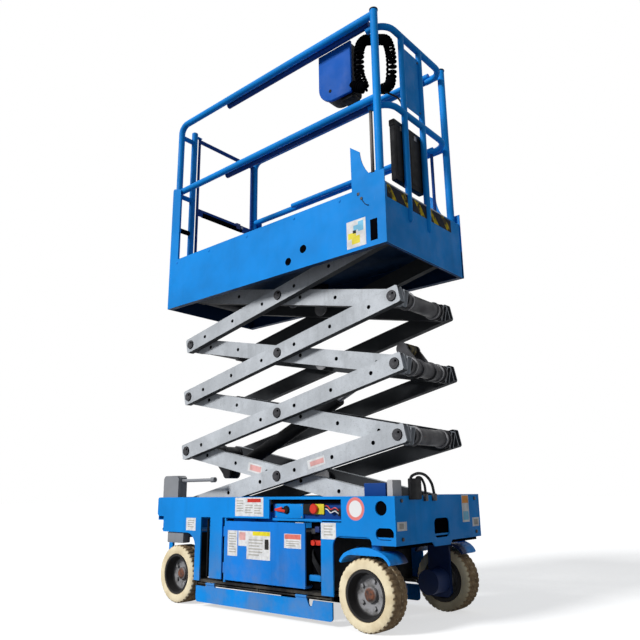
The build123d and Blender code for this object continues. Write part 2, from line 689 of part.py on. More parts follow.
leg_outline = [
    (front_axle_x - 62, 96), (front_axle_x - 40, 74), (front_axle_x + 40, 74), (front_axle_x + 62, 96),
    (front_axle_x + 62, yoke_plate_z), (front_axle_x - 62, yoke_plate_z),
]
yoke += plate_xz(leg_outline, near_range(*leg_y))
kingpin_z = ((26, shelf_front_z[0] - seat_clearance), (kingpin_radius, housing_top_z - 5))
for radius, top_z in kingpin_z:
    yoke += bar((front_axle_x, -kingpin_y, yoke_top_z - 1), (front_axle_x, -kingpin_y, top_z), radius)
tie_x = front_axle_x - steer_arm
tie_pin = 8
yoke += block((tie_x - 14, front_axle_x - 60), near_range(kingpin_y - 14, kingpin_y + 14),
              (yoke_top_z - 8, yoke_top_z))
yoke += bar((tie_x, -kingpin_y, yoke_top_z - 1), (tie_x, -kingpin_y, yoke_top_z + 14), tie_pin)
yoke += bar((front_axle_x, -leg_y[1] + 1, wheel_radius), (front_axle_x, -stub_end, wheel_radius), axle_radius)
yoke += bar((front_axle_x, -leg_y[0] - 1, wheel_radius), (front_axle_x, -leg_y[0] + 110, wheel_radius), 58)
keep("steer_yoke_near", yoke)
keep("steer_yoke_far", far(yoke))

tie_bar = block((tie_x - 12, tie_x + 12), (-kingpin_y - 16, kingpin_y + 16),
                (yoke_top_z + seat_clearance, yoke_top_z + 10))
for side in (-1, 1):
    tie_bar -= bar((tie_x, side * kingpin_y, yoke_top_z - 5), (tie_x, side * kingpin_y, yoke_top_z + 20),
                   tie_pin + bearing_clearance)
keep("tie_bar", tie_bar)

# ---------------------------------------------------------------- platform
inner_platform = platform_half_width - platform_sheet
front_sheet_x = (extension_post_x - 3, extension_post_x + 3)      # front plate of the extension
fixed_front_x = front_sheet_x[0] - safe_gap
gusset_x = (platform_front_x - 206, platform_front_x - 146, platform_front_x - 88)
gusset_z = (toe_board_z + 62, toe_board_z + 205, toe_board_z + 252)
strip_x = platform_rear_x + 84
strip_top_z = mid_rail_z + 25
side_outline = [
    [(platform_front_x, platform_bottom_z)],
    [(platform_front_x, gusset_z[0])],
    [(gusset_x[2], gusset_z[0])],
    [(gusset_x[1] + 18, gusset_z[0] + 65), (gusset_x[1], gusset_z[1])],
    [(gusset_x[0], gusset_z[2])],
    [(gusset_x[0] + 4, toe_board_z)],
    [(strip_x, toe_board_z)],
    [(strip_x, strip_top_z - 24)],
    [(platform_rear_x + 14, strip_top_z)],
    [(platform_rear_x + 4, strip_top_z - 4), (platform_rear_x, strip_top_z - 14)],
]
side_lip = 28
platform_side = curved_xz((platform_rear_x, platform_bottom_z), side_outline,
                          near_range(inner_platform, platform_half_width))
platform_side += block((platform_rear_x + platform_sheet, fixed_front_x - platform_sheet),
                       near_range(inner_platform - side_lip, inner_platform),
                       (platform_bottom_z, platform_bottom_z + platform_sheet))
keep("platform_sides", platform_side, far(platform_side))
deck = block((platform_rear_x + platform_sheet, fixed_front_x), (-inner_platform, inner_platform),
             (deck_z - deck_sheet, deck_z))
slide_y = extension_half_width - 28
slide_lift = 3
for side in (-1, 1):
    deck += block((fixed_front_x - 50, fixed_front_x), (side * slide_y - 20, side * slide_y + 20),
                  (deck_z, deck_z + slide_lift - seat_clearance))
keep("platform_deck", deck)
front_plate = block((fixed_front_x - platform_sheet, fixed_front_x), (-inner_platform, inner_platform),
                    (platform_bottom_z, deck_z - deck_sheet))
entry_half = gate_post_y - 20
rear_outline = [
    (-inner_platform, platform_bottom_z), (inner_platform, platform_bottom_z), (inner_platform, toe_board_z),
    (entry_half, toe_board_z), (entry_half, deck_z), (-entry_half, deck_z), (-entry_half, toe_board_z),
    (-inner_platform, toe_board_z),
]
rear_plate = plate_yz(rear_outline, (platform_rear_x, platform_rear_x + platform_sheet))
keep("platform_ends", front_plate, rear_plate)

top_track = roller_track(top_pin_z)
top_track += block(track_x, near_range(track_outer_y, track_outer_y + track_sheet),
                   (top_pin_z + roller_radius + track_gap + track_sheet, deck_z - deck_sheet))
keep("platform_tracks", top_track, far(top_track))
hanger_y = (outer_arm_y + arm_thickness + 4, outer_arm_y + arm_thickness + 24)
hanger = block((pivot_x - 40, pivot_x + 40), near_range(*hanger_y), (top_pin_z - 40, deck_z - deck_sheet))
hanger += bar((pivot_x, -hanger_y[0] - 1, top_pin_z), (pivot_x, -outer_arm_y + 3, top_pin_z), pin_radius)
keep("platform_tracks", hanger, far(hanger))

# main guard rails: each side rail is one bent tube with its rear post, and fits on a front post
gate_posts = []
cross_rail_radius = rail_radius - 1
post_cap = 8
front_post_top_z = top_rail_z + rail_radius + 10
tie_z = (top_rail_z - rail_bend - rail_radius, mid_rail_z, mid_rail_z - 265)
for side in (-1, 1):
    y = side * rail_y
    gate_y = side * gate_post_y
    front_post = bar((front_post_x, y, deck_z), (front_post_x, y, front_post_top_z - post_cap), rail_radius)
    front_post += bar((front_post_x, y, front_post_top_z - post_cap), (front_post_x, y, front_post_top_z),
                      rail_radius + 2)
    hoop = bent_bar([(rear_post_x, y, deck_z), (rear_post_x, y, top_rail_z), (front_post_x, y, top_rail_z)],
                    rail_bend, rail_radius)
    mid_rail = bar((rear_post_x, y, mid_rail_z), (front_post_x, y, mid_rail_z), cross_rail_radius)
    keep("guard_posts", front_post)
    keep("side_rails", hoop - front_post, mid_rail - hoop - front_post)
    gate_post = bar((rear_post_x, gate_y, deck_z), (rear_post_x, gate_y, top_rail_z), rail_radius)
    for z in tie_z:
        tie = bar((rear_post_x, y, z), (rear_post_x, gate_y, z), cross_rail_radius)
        keep("rear_rails", tie - hoop - gate_post - mid_rail)
    gate_posts.append(gate_post)

# entry gate, hinged on the near gate post, with a pivot pin at each end of its hinge stile
gate_gap = 8
gate_rail = 15
gate_cross_rail = 13
gate_stile_y = gate_post_y - rail_radius - gate_gap - gate_rail
gate_bottom_z = deck_z + 60
gate_top_z = top_rail_z - 30
gate_pin_radius = 7
gate_rails_z = (gate_bottom_z + 40, mid_rail_z, gate_top_z - gate_rail)
gate = bar((rear_post_x, -gate_stile_y, gate_bottom_z), (rear_post_x, -gate_stile_y, gate_top_z), gate_rail)
for z in gate_rails_z:
    gate += bar((rear_post_x, -gate_stile_y, z), (rear_post_x, gate_stile_y, z), gate_cross_rail)
gate += block((rear_post_x - 8, rear_post_x + 8), (-gate_stile_y, gate_stile_y), (mid_rail_z - 34, mid_rail_z))
gate += bar((rear_post_x, gate_stile_y, gate_bottom_z), (rear_post_x, gate_stile_y, gate_top_z), gate_rail)
gate_sheet_y = gate_stile_y - gate_rail - 3
gate_sheet_x = rear_post_x - gate_rail + 3
gate += block((gate_sheet_x, gate_sheet_x + 4), (-gate_sheet_y, gate_sheet_y), (deck_z + 12, toe_board_z))
pin_reach = 22
for z, up in ((gate_bottom_z, 1), (gate_top_z, -1)):
    pin_start = (rear_post_x, -gate_stile_y, z - up)
    pin_stop = (rear_post_x, -gate_stile_y, z + up * pin_reach)
    gate -= bar(pin_start, pin_stop, gate_pin_radius + bearing_clearance)
    hinge_z = sorted((z - up * seat_clearance, z - up * (seat_clearance + 8)))
    hinge = block((rear_post_x - 12, rear_post_x + 12), (-gate_post_y, -gate_stile_y + 12), hinge_z)
    pin_tip = (rear_post_x, -gate_stile_y, z + up * (pin_reach - 2))
    gate_posts[0] += hinge + bar(pin_start, pin_tip, gate_pin_radius)
keep("guard_posts", *gate_posts)
keep("entry_gate", gate)

# extension deck with its front plate, bent rails, posts, manual box, control box and cable
extension_deck_z = (deck_z + slide_lift, deck_z + slide_lift + 6)
middle_posts_y = (-150, 30)
middle_post_radius = extension_tube - 1
mid_tube = extension_tube - 2        # mid rails end on the posts
corner_post_radius = 11
corner_post_x = extension_corner_x - 20
side_rail_rear_x = 60
front_plate_half = inner_platform - safe_gap
extension = block((extension_rear_x, front_sheet_x[0]), (-extension_half_width, extension_half_width),
                  extension_deck_z)
extension += block(front_sheet_x, (-front_plate_half, front_plate_half), (platform_bottom_z, toe_board_z))
for side in (-1, 1):
    glide_y = side * (slide_y - 20 - safe_gap - 20)
    extension += block((extension_rear_x, extension_rear_x + 40), (glide_y - 20, glide_y + 20),
                       (deck_z + seat_clearance, extension_deck_z[0]))

# the two middle posts end in a rounded foot, let half into the front plate
foot_z = deck_z + safe_gap + middle_post_radius
middle_posts = Part()
for y in middle_posts_y:
    middle_posts += bar((extension_post_x, y, foot_z), (extension_post_x, y, extension_top_rail_z),
                        middle_post_radius)
    middle_posts += Pos(extension_post_x, y, foot_z) * Sphere(middle_post_radius)
keep("extension_deck", extension - middle_posts)

sign_z = (extension_mid_rail_z + 52, extension_top_rail_z - 62)
top_rails = Part()
corner_posts = Part()
for side in (-1, 1):
    y = side * extension_rail_y
    corner_posts += bar((corner_post_x, y, extension_deck_z[1]), (corner_post_x, y, extension_top_rail_z),
                        corner_post_radius)
for z in (extension_top_rail_z, extension_mid_rail_z):
    ends = [(corner_post_x, side * extension_rail_y, z) for side in (-1, 1)]
    corners = [(extension_post_x, side * extension_rail_y, z) for side in (-1, 1)]
    tube = extension_tube if z == extension_top_rail_z else mid_tube
    front_rail = bent_bar([ends[0], corners[0], corners[1], ends[1]], extension_bend, tube)
    side_rails = [bar((side_rail_rear_x, end[1], z), end, tube) for end in ends]
    if z == extension_top_rail_z:
        top_rails += front_rail
        top_rails += side_rails
        keep("extension_front_rails", front_rail)
        keep("extension_side_rails", *side_rails)
    else:
        keep("extension_front_rails", front_rail - corner_posts - middle_posts)
        keep("extension_side_rails", *[rail - corner_posts for rail in side_rails])
sign = block((extension_post_x - 2, extension_post_x + 2), middle_posts_y, sign_z)
keep("extension_posts", corner_posts - top_rails, (middle_posts + sign) - top_rails)

post_face = middle_post_radius + seat_clearance
manual_x = (extension_post_x - 53, extension_post_x - post_face)
manual_top_z = extension_mid_rail_z - 30
keep("manual_box", block(manual_x, (-293, -32), (toe_board_z + 45, manual_top_z)))

# platform controls: a guard box with a round lower corner, and a joystick on its top
control_y = (extension_tube + seat_clearance - extension_rail_y, 129 - extension_rail_y)
control_length = 212
control_front_x = extension_post_x - 245
control_floor_z = extension_top_rail_z - 308
control_lid_z = extension_top_rail_z + 12
control_round = 110
box_rear_x = control_front_x - control_length
box_outline = [
    [(box_rear_x, control_floor_z + control_round)],
    [(box_rear_x + arc_inset * control_round, control_floor_z + arc_inset * control_round),
     (box_rear_x + control_round, control_floor_z)],
    [(control_front_x - 14, control_floor_z)],
    [(control_front_x - 4, control_floor_z + 4), (control_front_x, control_floor_z + 14)],
    [(control_front_x, control_lid_z)],
]
control_box = curved_xz((box_rear_x, control_lid_z), box_outline, control_y)
stick = (box_rear_x + 70, (control_y[0] + control_y[1]) / 2)
control_box += Pos(*stick, control_lid_z + 9) * Cone(22, 9, 20)
control_box += bar((*stick, control_lid_z), (*stick, control_lid_z + 42), 6)
control_box += Pos(*stick, control_lid_z + 40) * Sphere(12)
stop_place = (control_front_x - 55, stick[1])
control_box += bar((*stop_place, control_lid_z - 1), (*stop_place, control_lid_z + 22), 20)
keep("control_box", control_box)

# coiled control cable between the control box and the manual box
cable_radius = 12
coil_radius = 28
coil_bend = 96
coil_half_run = 42
coil_y = -210
coil_x = extension_post_x - 130
coil_z = extension_top_rail_z - 170
coil_turn = 39
coil = Part()
for side in (-1, 1):
    coil += bar((side * coil_bend, 0, -coil_half_run), (side * coil_bend, 0, coil_half_run), coil_radius)
    rim_face = Plane(origin=(coil_bend, 0, 0), z_dir=(0, 0, 1)) * Circle(coil_radius)
    half_ring = Solid.revolve(rim_face.face(), 180 * side, Axis((0, 0, 0), (0, -1, 0)))
    coil += Pos(0, 0, side * coil_half_run) * half_ring
coil = Pos(coil_x, coil_y, coil_z) * Rot(0, 0, coil_turn) * coil
lead_y = coil_y - 52
coil += bar((control_front_x + seat_clearance, lead_y, coil_z), (coil_x - 70, lead_y, coil_z), cable_radius)
drop = (manual_x[0] + cable_radius + 2, coil_y + 56)
coil += bar((*drop, manual_top_z + seat_clearance), (*drop, coil_z), cable_radius)
keep("control_cable", coil)

# ---------------------------------------------------------------- export
for name, solids in parts.items():
    shape = solids[0] if len(solids) == 1 else Compound(solids)
    export_step(shape, f"parts/{name}.step")
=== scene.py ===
"""Looks of the scissor lift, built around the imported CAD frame.  Metres, +X front, +Z up."""
import json
import math
import bmesh
import bpy
from mathutils import Matrix, Vector


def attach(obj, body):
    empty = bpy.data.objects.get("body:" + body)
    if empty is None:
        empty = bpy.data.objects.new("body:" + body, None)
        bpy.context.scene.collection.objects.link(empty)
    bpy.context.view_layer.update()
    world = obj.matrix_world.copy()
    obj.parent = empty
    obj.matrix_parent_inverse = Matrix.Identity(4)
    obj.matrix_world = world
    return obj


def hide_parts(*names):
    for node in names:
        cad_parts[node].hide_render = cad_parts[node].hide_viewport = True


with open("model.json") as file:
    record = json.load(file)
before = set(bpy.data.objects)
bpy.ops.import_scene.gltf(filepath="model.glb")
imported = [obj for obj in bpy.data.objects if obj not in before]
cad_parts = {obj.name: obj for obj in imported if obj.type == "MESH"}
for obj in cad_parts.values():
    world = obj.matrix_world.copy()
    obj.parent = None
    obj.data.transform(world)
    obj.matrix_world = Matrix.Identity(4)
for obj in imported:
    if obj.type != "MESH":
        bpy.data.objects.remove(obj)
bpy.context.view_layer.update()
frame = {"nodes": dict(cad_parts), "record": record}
nodes = frame["nodes"]

# places that the looks share with the CAD
WHEEL_RADIUS = 0.1525
TYRE_Y = 0.323
FRONT_AXLE_X, REAR_AXLE_X = 0.715, -0.605
ARM_ANGLE = math.radians(12.13)
HALF_ARM = 0.7935
CENTRE_PIN_X = 0.0592
FIRST_PIN_Z = 0.503
STAGE_RISE = 0.3335
ARM_FACE = {"outer": 0.255, "inner": 0.205}
POST_Y = 0.348
FRONT_POST_X, REAR_POST_X = 0.861, -0.786
GATE_POST_Y, HINGE_Y = -0.238, -0.194
EXTENSION_RAIL_Y = 0.304
EXTENSION_POST_X = 0.897


# ---------------------------------------------------------------- camera, light and floor
def make_camera():
    """Camera low at the front corner of the control side, looking up at the platform."""
    eye = (2.511, -2.741, 0.590)
    azimuth = math.radians(40.67)
    pitch = math.radians(14.96)
    roll = math.radians(-0.74)
    forward = Vector((-math.sin(azimuth) * math.cos(pitch), math.cos(azimuth) * math.cos(pitch),
                      math.sin(pitch)))
    level = Vector((math.cos(azimuth), math.sin(azimuth), 0))
    upward = level.cross(forward)
    right = math.cos(roll) * level + math.sin(roll) * upward
    above = -math.sin(roll) * level + math.cos(roll) * upward
    data = bpy.data.cameras.new("camera")
    data.lens = 36.0
    data.sensor_width = 36.0
    data.clip_end = 100
    camera = bpy.data.objects.new("camera", data)
    turn = Matrix((right, above, -forward)).transposed().to_4x4()
    camera.matrix_world = Matrix.Translation(eye) @ turn
    bpy.context.scene.collection.objects.link(camera)
    bpy.context.scene.camera = camera


def make_lamp(name, kind, energy, direction, **settings):
    """Lamp that shines along a direction."""
    data = bpy.data.lights.new(name, kind)
    data.energy = energy
    for key, value in settings.items():
        setattr(data, key, value)
    lamp = bpy.data.objects.new(name, data)
    lamp.rotation_euler = Vector(direction).to_track_quat("-Z", "Y").to_euler()
    bpy.context.scene.collection.objects.link(lamp)


def plain_shader(tree, kind, colour, strength=None):
    """Shader node of one colour; returns its output."""
    made = tree.nodes.new(kind)
    made.inputs["Color"].default_value = (*colour, 1)
    if strength is not None:
        made.inputs["Strength"].default_value = strength
    return made.outputs[0]


def bright_to_camera(tree, dull, bright):
    """Shader that is bright to the camera, in reflections and through glass, and dull otherwise."""
    path = tree.nodes.new("ShaderNodeLightPath")
    seen = path.outputs["Is Camera Ray"]
    for ray in ("Is Glossy Ray", "Is Transmission Ray"):
        either = tree.nodes.new("ShaderNodeMath")
        either.operation = "MAXIMUM"
        tree.links.new(seen, either.inputs[0])
        tree.links.new(path.outputs[ray], either.inputs[1])
        seen = either.outputs[0]
    mix = tree.nodes.new("ShaderNodeMixShader")
    tree.links.new(seen, mix.inputs["Fac"])
    tree.links.new(dull, mix.inputs[1])
    tree.links.new(bright, mix.inputs[2])
    return mix.outputs[0]


def make_world():
    """White to the camera and in reflections, and a soft cool light on the object."""
    world = bpy.data.worlds.new("studio")
    bpy.context.scene.world = world
    world.use_nodes = True
    tree = world.node_tree
    tree.nodes.clear()
    seen = plain_shader(tree, "ShaderNodeBackground", (1, 1, 1), 1.0)
    light = plain_shader(tree, "ShaderNodeBackground", (0.88, 0.94, 1.0), 0.24)
    output = tree.nodes.new("ShaderNodeOutputWorld")
    tree.links.new(bright_to_camera(tree, light, seen), output.inputs["Surface"])


def make_floor():
    """Pale floor that keeps the shadow, bright to the camera and in reflections."""
    half = 40
    mesh = bpy.data.meshes.new("floor")
    corners = [(-half, -half, 0), (half, -half, 0), (half, half, 0), (-half, half, 0)]
    mesh.from_pydata(corners, [], [(0, 1, 2, 3)])
    floor = bpy.data.objects.new("floor", mesh)
    bpy.context.scene.collection.objects.link(floor)
    material = bpy.data.materials.new("studio_floor")
    material.use_nodes = True
    tree = material.node_tree
    tree.nodes.clear()
    glow = plain_shader(tree, "ShaderNodeEmission", (1, 1, 1), 0.62)
    pale = plain_shader(tree, "ShaderNodeBsdfDiffuse", (0.62, 0.62, 0.62))
    dull = plain_shader(tree, "ShaderNodeBsdfDiffuse", (0.30, 0.30, 0.31))
    add = tree.nodes.new("ShaderNodeAddShader")
    tree.links.new(glow, add.inputs[0])
    tree.links.new(pale, add.inputs[1])
    output = tree.nodes.new("ShaderNodeOutputMaterial")
    tree.links.new(bright_to_camera(tree, dull, add.outputs[0]), output.inputs["Surface"])
    mesh.materials.append(material)


make_camera()
bpy.context.scene.view_settings.view_transform = "Standard"
make_world()
make_floor()
make_lamp("key", "SUN", 3.05, (0.30, 1.0, -0.62), angle=math.radians(14))
make_lamp("fill", "SUN", 0.12, (-1.0, 0.35, -0.25), angle=math.radians(40))


# ---------------------------------------------------------------- materials
class Graph:
    """Small helper for building a material's nodes."""

    def __init__(self, name):
        self.material = bpy.data.materials.new(name)
        self.material.use_nodes = True
        self.tree = self.material.node_tree
        self.shader = self.tree.nodes["Principled BSDF"]

    def node(self, kind, **settings):
        made = self.tree.nodes.new(kind)
        for key, value in settings.items():
            setattr(made, key, value)
        return made

    def link(self, source, target):
        self.tree.links.new(source, target)

    def place(self, socket, value):
        """Link a socket, or set a plain value."""
        if isinstance(value, bpy.types.NodeSocket):
            self.link(value, socket)
        elif isinstance(value, (tuple, list)) and len(value) == 3 and len(socket.default_value) == 4:
            socket.default_value = (*value, 1)
        else:
            socket.default_value = value

    def coordinates(self, scale=(1, 1, 1)):
        """Object coordinates, stretched by a scale."""
        source = self.node("ShaderNodeTexCoord")
        mapping = self.node("ShaderNodeMapping")
        mapping.inputs["Scale"].default_value = scale
        self.link(source.outputs["Object"], mapping.inputs["Vector"])
        return mapping.outputs["Vector"]

    def noise(self, scale, detail=4.0, roughness=0.55, stretch=(1, 1, 1)):
        made = self.node("ShaderNodeTexNoise")
        made.inputs["Scale"].default_value = scale
        made.inputs["Detail"].default_value = detail
        made.inputs["Roughness"].default_value = roughness
        self.link(self.coordinates(stretch), made.inputs["Vector"])
        return made.outputs["Fac"]

    def ramp(self, value, low, high, start=0.0, stop=1.0):
        """Smooth change from start to stop as value goes from low to high."""
        made = self.node("ShaderNodeMapRange", interpolation_type="SMOOTHSTEP")
        self.place(made.inputs["Value"], value)
        for key, amount in (("From Min", low), ("From Max", high), ("To Min", start), ("To Max", stop)):
            made.inputs[key].default_value = amount
        return made.outputs["Result"]

    def math(self, operation, first, second=0.0):
        made = self.node("ShaderNodeMath", operation=operation)
        self.place(made.inputs[0], first)
        self.place(made.inputs[1], second)
        return made.outputs[0]

    def times(self, first, second):
        return self.math("MULTIPLY", first, second)

    def mix(self, factor, first, second):
        """Colour between first and second."""
        made = self.node("ShaderNodeMix", data_type="RGBA")
        self.place(made.inputs["Factor"], factor)
        self.place(made.inputs[6], first)
        self.place(made.inputs[7], second)
        return made.outputs[2]

    def bump(self, height, strength, distance=0.001):
        made = self.node("ShaderNodeBump")
        made.inputs["Strength"].default_value = strength
        made.inputs["Distance"].default_value = distance
        self.link(height, made.inputs["Height"])
        self.link(made.outputs["Normal"], self.shader.inputs["Normal"])

    def parts_of(self, kind):
        """X, Y and Z of one of the texture coordinates."""
        made = self.node("ShaderNodeSeparateXYZ")
        self.link(self.node("ShaderNodeTexCoord").outputs[kind], made.inputs[0])
        return made.outputs

    def position(self):
        return self.parts_of("Object")

    def normal(self):
        return self.parts_of("Normal")

    def inside(self, value, low, high):
        """1 where value lies between low and high, else 0."""
        made = self.node("ShaderNodeMath", operation="COMPARE")
        self.place(made.inputs[0], value)
        made.inputs[1].default_value = (low + high) / 2
        made.inputs[2].default_value = (high - low) / 2
        return made.outputs[0]

    def patch(self, first, second, box):
        """1 inside a rectangle of two coordinates."""
        return self.times(self.inside(first, box[0], box[1]), self.inside(second, box[2], box[3]))

    def distance(self, first, second, centre):
        """Distance from a centre in the plane of two coordinates."""
        across = self.math("POWER", self.math("SUBTRACT", first, centre[0]), 2.0)
        upward = self.math("POWER", self.math("SUBTRACT", second, centre[1]), 2.0)
        return self.math("SQRT", self.math("ADD", across, upward))

    def finish(self, colour, roughness, metallic=0.0, gloss=0.3):
        self.place(self.shader.inputs["Base Color"], colour)
        self.place(self.shader.inputs["Roughness"], roughness)
        self.shader.inputs["Metallic"].default_value = metallic
        self.shader.inputs["Specular IOR Level"].default_value = gloss
        return self.material


def shade(colour, share):
    return tuple(share * c for c in colour)


def painted(name, colour, roughness=0.5, worn=0.5, dusty=0.0, inside=None, inner_shade_top=4.0, under_shade=None,
            prints=(), discs=(), tread=False, mottled=False, gloss=0.11):
    """Machine enamel: mottled tone, run-off streaks, scuffs to primer, chips, and dust low down.

    inside is the tone of painted shade on the faces towards the machine's middle and on the faces
    that look down, up to the height inner_shade_top, and under_shade is the tone of painted shade on
    the faces that look down.  prints are flat labels on the near side, each
    (x low, x high, z low, z high, colour); discs are round ones, each (x, z, radius, colour).
    mottled adds cloudy dirt, and tread the raised pattern of a worn deck.
    """
    g = Graph(name)
    x, y, z = g.position()
    normal = g.normal()
    base = g.mix(g.ramp(g.noise(2.3, 5), 0.35, 0.68), colour, shade(colour, 0.78))
    if mottled:
        cloud = g.ramp(g.noise(7, 8, 0.72), 0.38, 0.62)
        base = g.mix(g.times(cloud, 0.5), base, shade(colour, 0.62))
        speck = g.ramp(g.noise(130, 4, 0.7), 0.55, 0.68)
        base = g.mix(g.times(speck, 0.45), base, shade(colour, 0.42))
    streak = g.ramp(g.noise(16, 5, 0.6, (1.0, 1.0, 0.07)), 0.52, 0.74)
    upright = g.ramp(g.math("ABSOLUTE", normal[2]), 0.3, 0.7, 1.0, 0.0)
    base = g.mix(g.times(g.times(streak, upright), 0.30 * worn), base, shade(colour, 0.34))
    scuff = g.ramp(g.noise(34, 6, 0.62, (1.0, 1.0, 0.35)), 0.70 - 0.04 * worn, 0.80)
    primer = tuple(min(1.0, 0.55 * c + 0.24) for c in colour)
    base = g.mix(g.times(scuff, 0.42 * worn), base, primer)
    if prints:
        upright_side = g.ramp(g.math("ABSOLUTE", normal[1]), 0.85, 0.95)
        near_side = g.times(upright_side, g.math("LESS_THAN", y, 0.0))
        fading = g.ramp(g.noise(40, 5), 0.35, 0.75)
    for *box, ink in prints:
        faded = g.mix(fading, ink, shade(ink, 0.72))
        base = g.mix(g.times(g.patch(x, z, box), near_side), base, faded)
    if discs:
        near_face = g.ramp(g.times(normal[1], -1.0), 0.85, 0.95)
    for centre_x, centre_z, radius, ink in discs:
        disc = g.ramp(g.distance(x, z, (centre_x, centre_z)), radius - 0.0015, radius + 0.0015, 1.0, 0.0)
        base = g.mix(g.times(disc, near_face), base, ink)
    chips = g.ramp(g.noise(75, 3, 0.5), 0.755 - 0.02 * worn, 0.775)
    base = g.mix(g.times(chips, 0.8 * worn), base, (0.05, 0.05, 0.055))
    if dusty:
        low = g.ramp(z, 0.0, 0.5, 1.0, 0.0)
        film = g.times(g.times(low, g.ramp(g.noise(9, 6), 0.35, 0.75)), dusty)
        base = g.mix(film, base, (0.30, 0.27, 0.22))
    # painted shade: faces towards the machine's middle and faces that look down, below inner_shade_top, take
    # the inside tone
    if inside:
        inward_y = g.times(g.times(normal[1], g.math("SIGN", y)), -1.0)
        inward_x = g.times(g.times(normal[0], g.math("SIGN", x)), -1.0)
        below = g.times(normal[2], -1.0)
        shade_share = g.ramp(g.math("MAXIMUM", g.math("MAXIMUM", inward_y, inward_x), below), 0.25, 0.75)
        shade_share = g.times(shade_share, g.ramp(z, inner_shade_top - 0.01, inner_shade_top, 1.0, 0.0))
        base = g.mix(g.times(shade_share, 0.94), base, inside)
    # painted shade: faces that look down take the under_shade tone
    if under_shade:
        below = g.ramp(g.times(normal[2], -1.0), 0.3, 0.8)
        base = g.mix(g.times(below, 0.93), base, under_shade)
    if tread:
        bars = g.times(g.math("SINE", g.times(g.math("ADD", x, y), 210.0)),
                       g.math("SINE", g.times(g.math("SUBTRACT", x, y), 210.0)))
        top = g.ramp(normal[2], 0.6, 0.9)
        trodden = g.times(g.ramp(g.noise(5, 6, 0.65), 0.42, 0.7), top)
        base = g.mix(g.times(trodden, 0.55), base, (0.20, 0.22, 0.25))
        g.bump(g.times(g.math("ABSOLUTE", bars), top), 0.5, 0.0015)
    else:
        g.bump(g.noise(260, 2), 0.06, 0.0006)
    sheen = g.ramp(g.noise(12, 5), 0.3, 0.7, roughness - 0.06, roughness + 0.14)
    return g.finish(base, sheen, gloss=gloss)


def split_paint(name, first, second, axis, low, high, both_sides=False):
    """Enamel that goes from one colour to another along an axis, or along the distance from its middle."""
    g = Graph(name)
    place = g.position()[axis]
    if both_sides:
        place = g.math("ABSOLUTE", place)
    tone = g.mix(g.ramp(place, low, high), first, second)
    worn = g.ramp(g.noise(20, 6, 0.65), 0.5, 0.8)
    tone = g.mix(g.times(worn, 0.4), tone, (0.03, 0.03, 0.035))
    g.bump(g.noise(200, 3), 0.1, 0.0005)
    return g.finish(tone, g.ramp(g.noise(14, 5), 0.3, 0.7, 0.45, 0.62), gloss=0.25)


def plastic(name, colour, roughness=0.5, gloss=0.3):
    """Grained plastic of a slightly uneven tone."""
    g = Graph(name)
    tone = g.mix(g.ramp(g.noise(18, 4), 0.3, 0.7), colour, shade(colour, 0.72))
    g.bump(g.noise(420, 2), 0.12, 0.0004)
    return g.finish(tone, g.ramp(g.noise(30, 4), 0.3, 0.7, roughness - 0.08, roughness + 0.1), gloss=gloss)


def metal(name, colour, roughness=0.35, rust=0.15, shine=0.85):
    """Bare metal with patches of rust."""
    g = Graph(name)
    tone = g.mix(g.ramp(g.noise(14, 5), 0.35, 0.7), colour, shade(colour, 0.6))
    patch = g.ramp(g.noise(28, 6, 0.65), 0.66 - 0.2 * rust, 0.74)
    tone = g.mix(g.times(patch, min(1.0, 3 * rust)), tone, (0.16, 0.06, 0.025))
    g.bump(g.noise(180, 3), 0.1, 0.0005)
    return g.finish(tone, g.ramp(g.noise(22, 4), 0.3, 0.7, roughness - 0.08, roughness + 0.15),
                    metallic=shine)


def tyre_rubber(name):
    """Cream non-marking rubber, its tread stained brown."""
    g = Graph(name)
    across = g.math("ABSOLUTE", g.normal()[1])
    tread = g.ramp(across, 0.25, 0.75, 1.0, 0.0)
    blotch = g.ramp(g.noise(26, 6, 0.65), 0.3, 0.72)
    stain = g.mix(blotch, (0.36, 0.25, 0.14), (0.14, 0.09, 0.05))
    cream = g.mix(g.ramp(g.noise(11, 6), 0.35, 0.75), (0.86, 0.75, 0.52), (0.62, 0.50, 0.31))
    scuff = g.ramp(g.noise(45, 6, 0.7), 0.6, 0.75)
    cream = g.mix(g.times(scuff, 0.5), cream, (0.30, 0.23, 0.15))
    g.bump(g.noise(120, 4), 0.25, 0.001)
    return g.finish(g.mix(tread, cream, stain), 0.78, gloss=0.15)


def rim_paint(name, centre_x):
    """Grey dish, a black ring of painted shade for the rim's inner barrel, and a rusty hub, by distance from
    the wheel's axis.
    """
    g = Graph(name)
    x, y, z = g.position()
    far_out = g.distance(x, z, (centre_x, WHEEL_RADIUS))
    grey = g.mix(g.ramp(g.noise(24, 6, 0.65), 0.35, 0.7), (0.30, 0.30, 0.31), (0.10, 0.095, 0.09))
    rusty = g.mix(g.ramp(g.noise(50, 6), 0.4, 0.65), (0.20, 0.075, 0.04), (0.06, 0.04, 0.035))
    tone = g.mix(g.ramp(far_out, 0.022, 0.034, 1.0, 0.0), grey, rusty)
    # painted shade: the ring beyond the dish, where the rim's barrel lies in shadow, is near black
    tone = g.mix(g.ramp(far_out, 0.076, 0.088), tone, (0.016, 0.015, 0.015))
    g.bump(g.noise(110, 4), 0.2, 0.0008)
    return g.finish(tone, 0.62, gloss=0.2)


def rod_metal(name, lug_z):
    """Bright rod that ends in a dark, oily lug."""
    g = Graph(name)
    z = g.position()[2]
    oily = g.mix(g.ramp(g.noise(40, 5), 0.4, 0.65), (0.012, 0.012, 0.011), (0.10, 0.08, 0.03))
    tone = g.mix(g.ramp(z, lug_z - 0.01, lug_z + 0.01), (0.62, 0.62, 0.64), oily)
    g.bump(g.noise(180, 3), 0.05, 0.0004)
    return g.finish(tone, g.ramp(z, lug_z - 0.01, lug_z + 0.01, 0.22, 0.65), metallic=0.7)


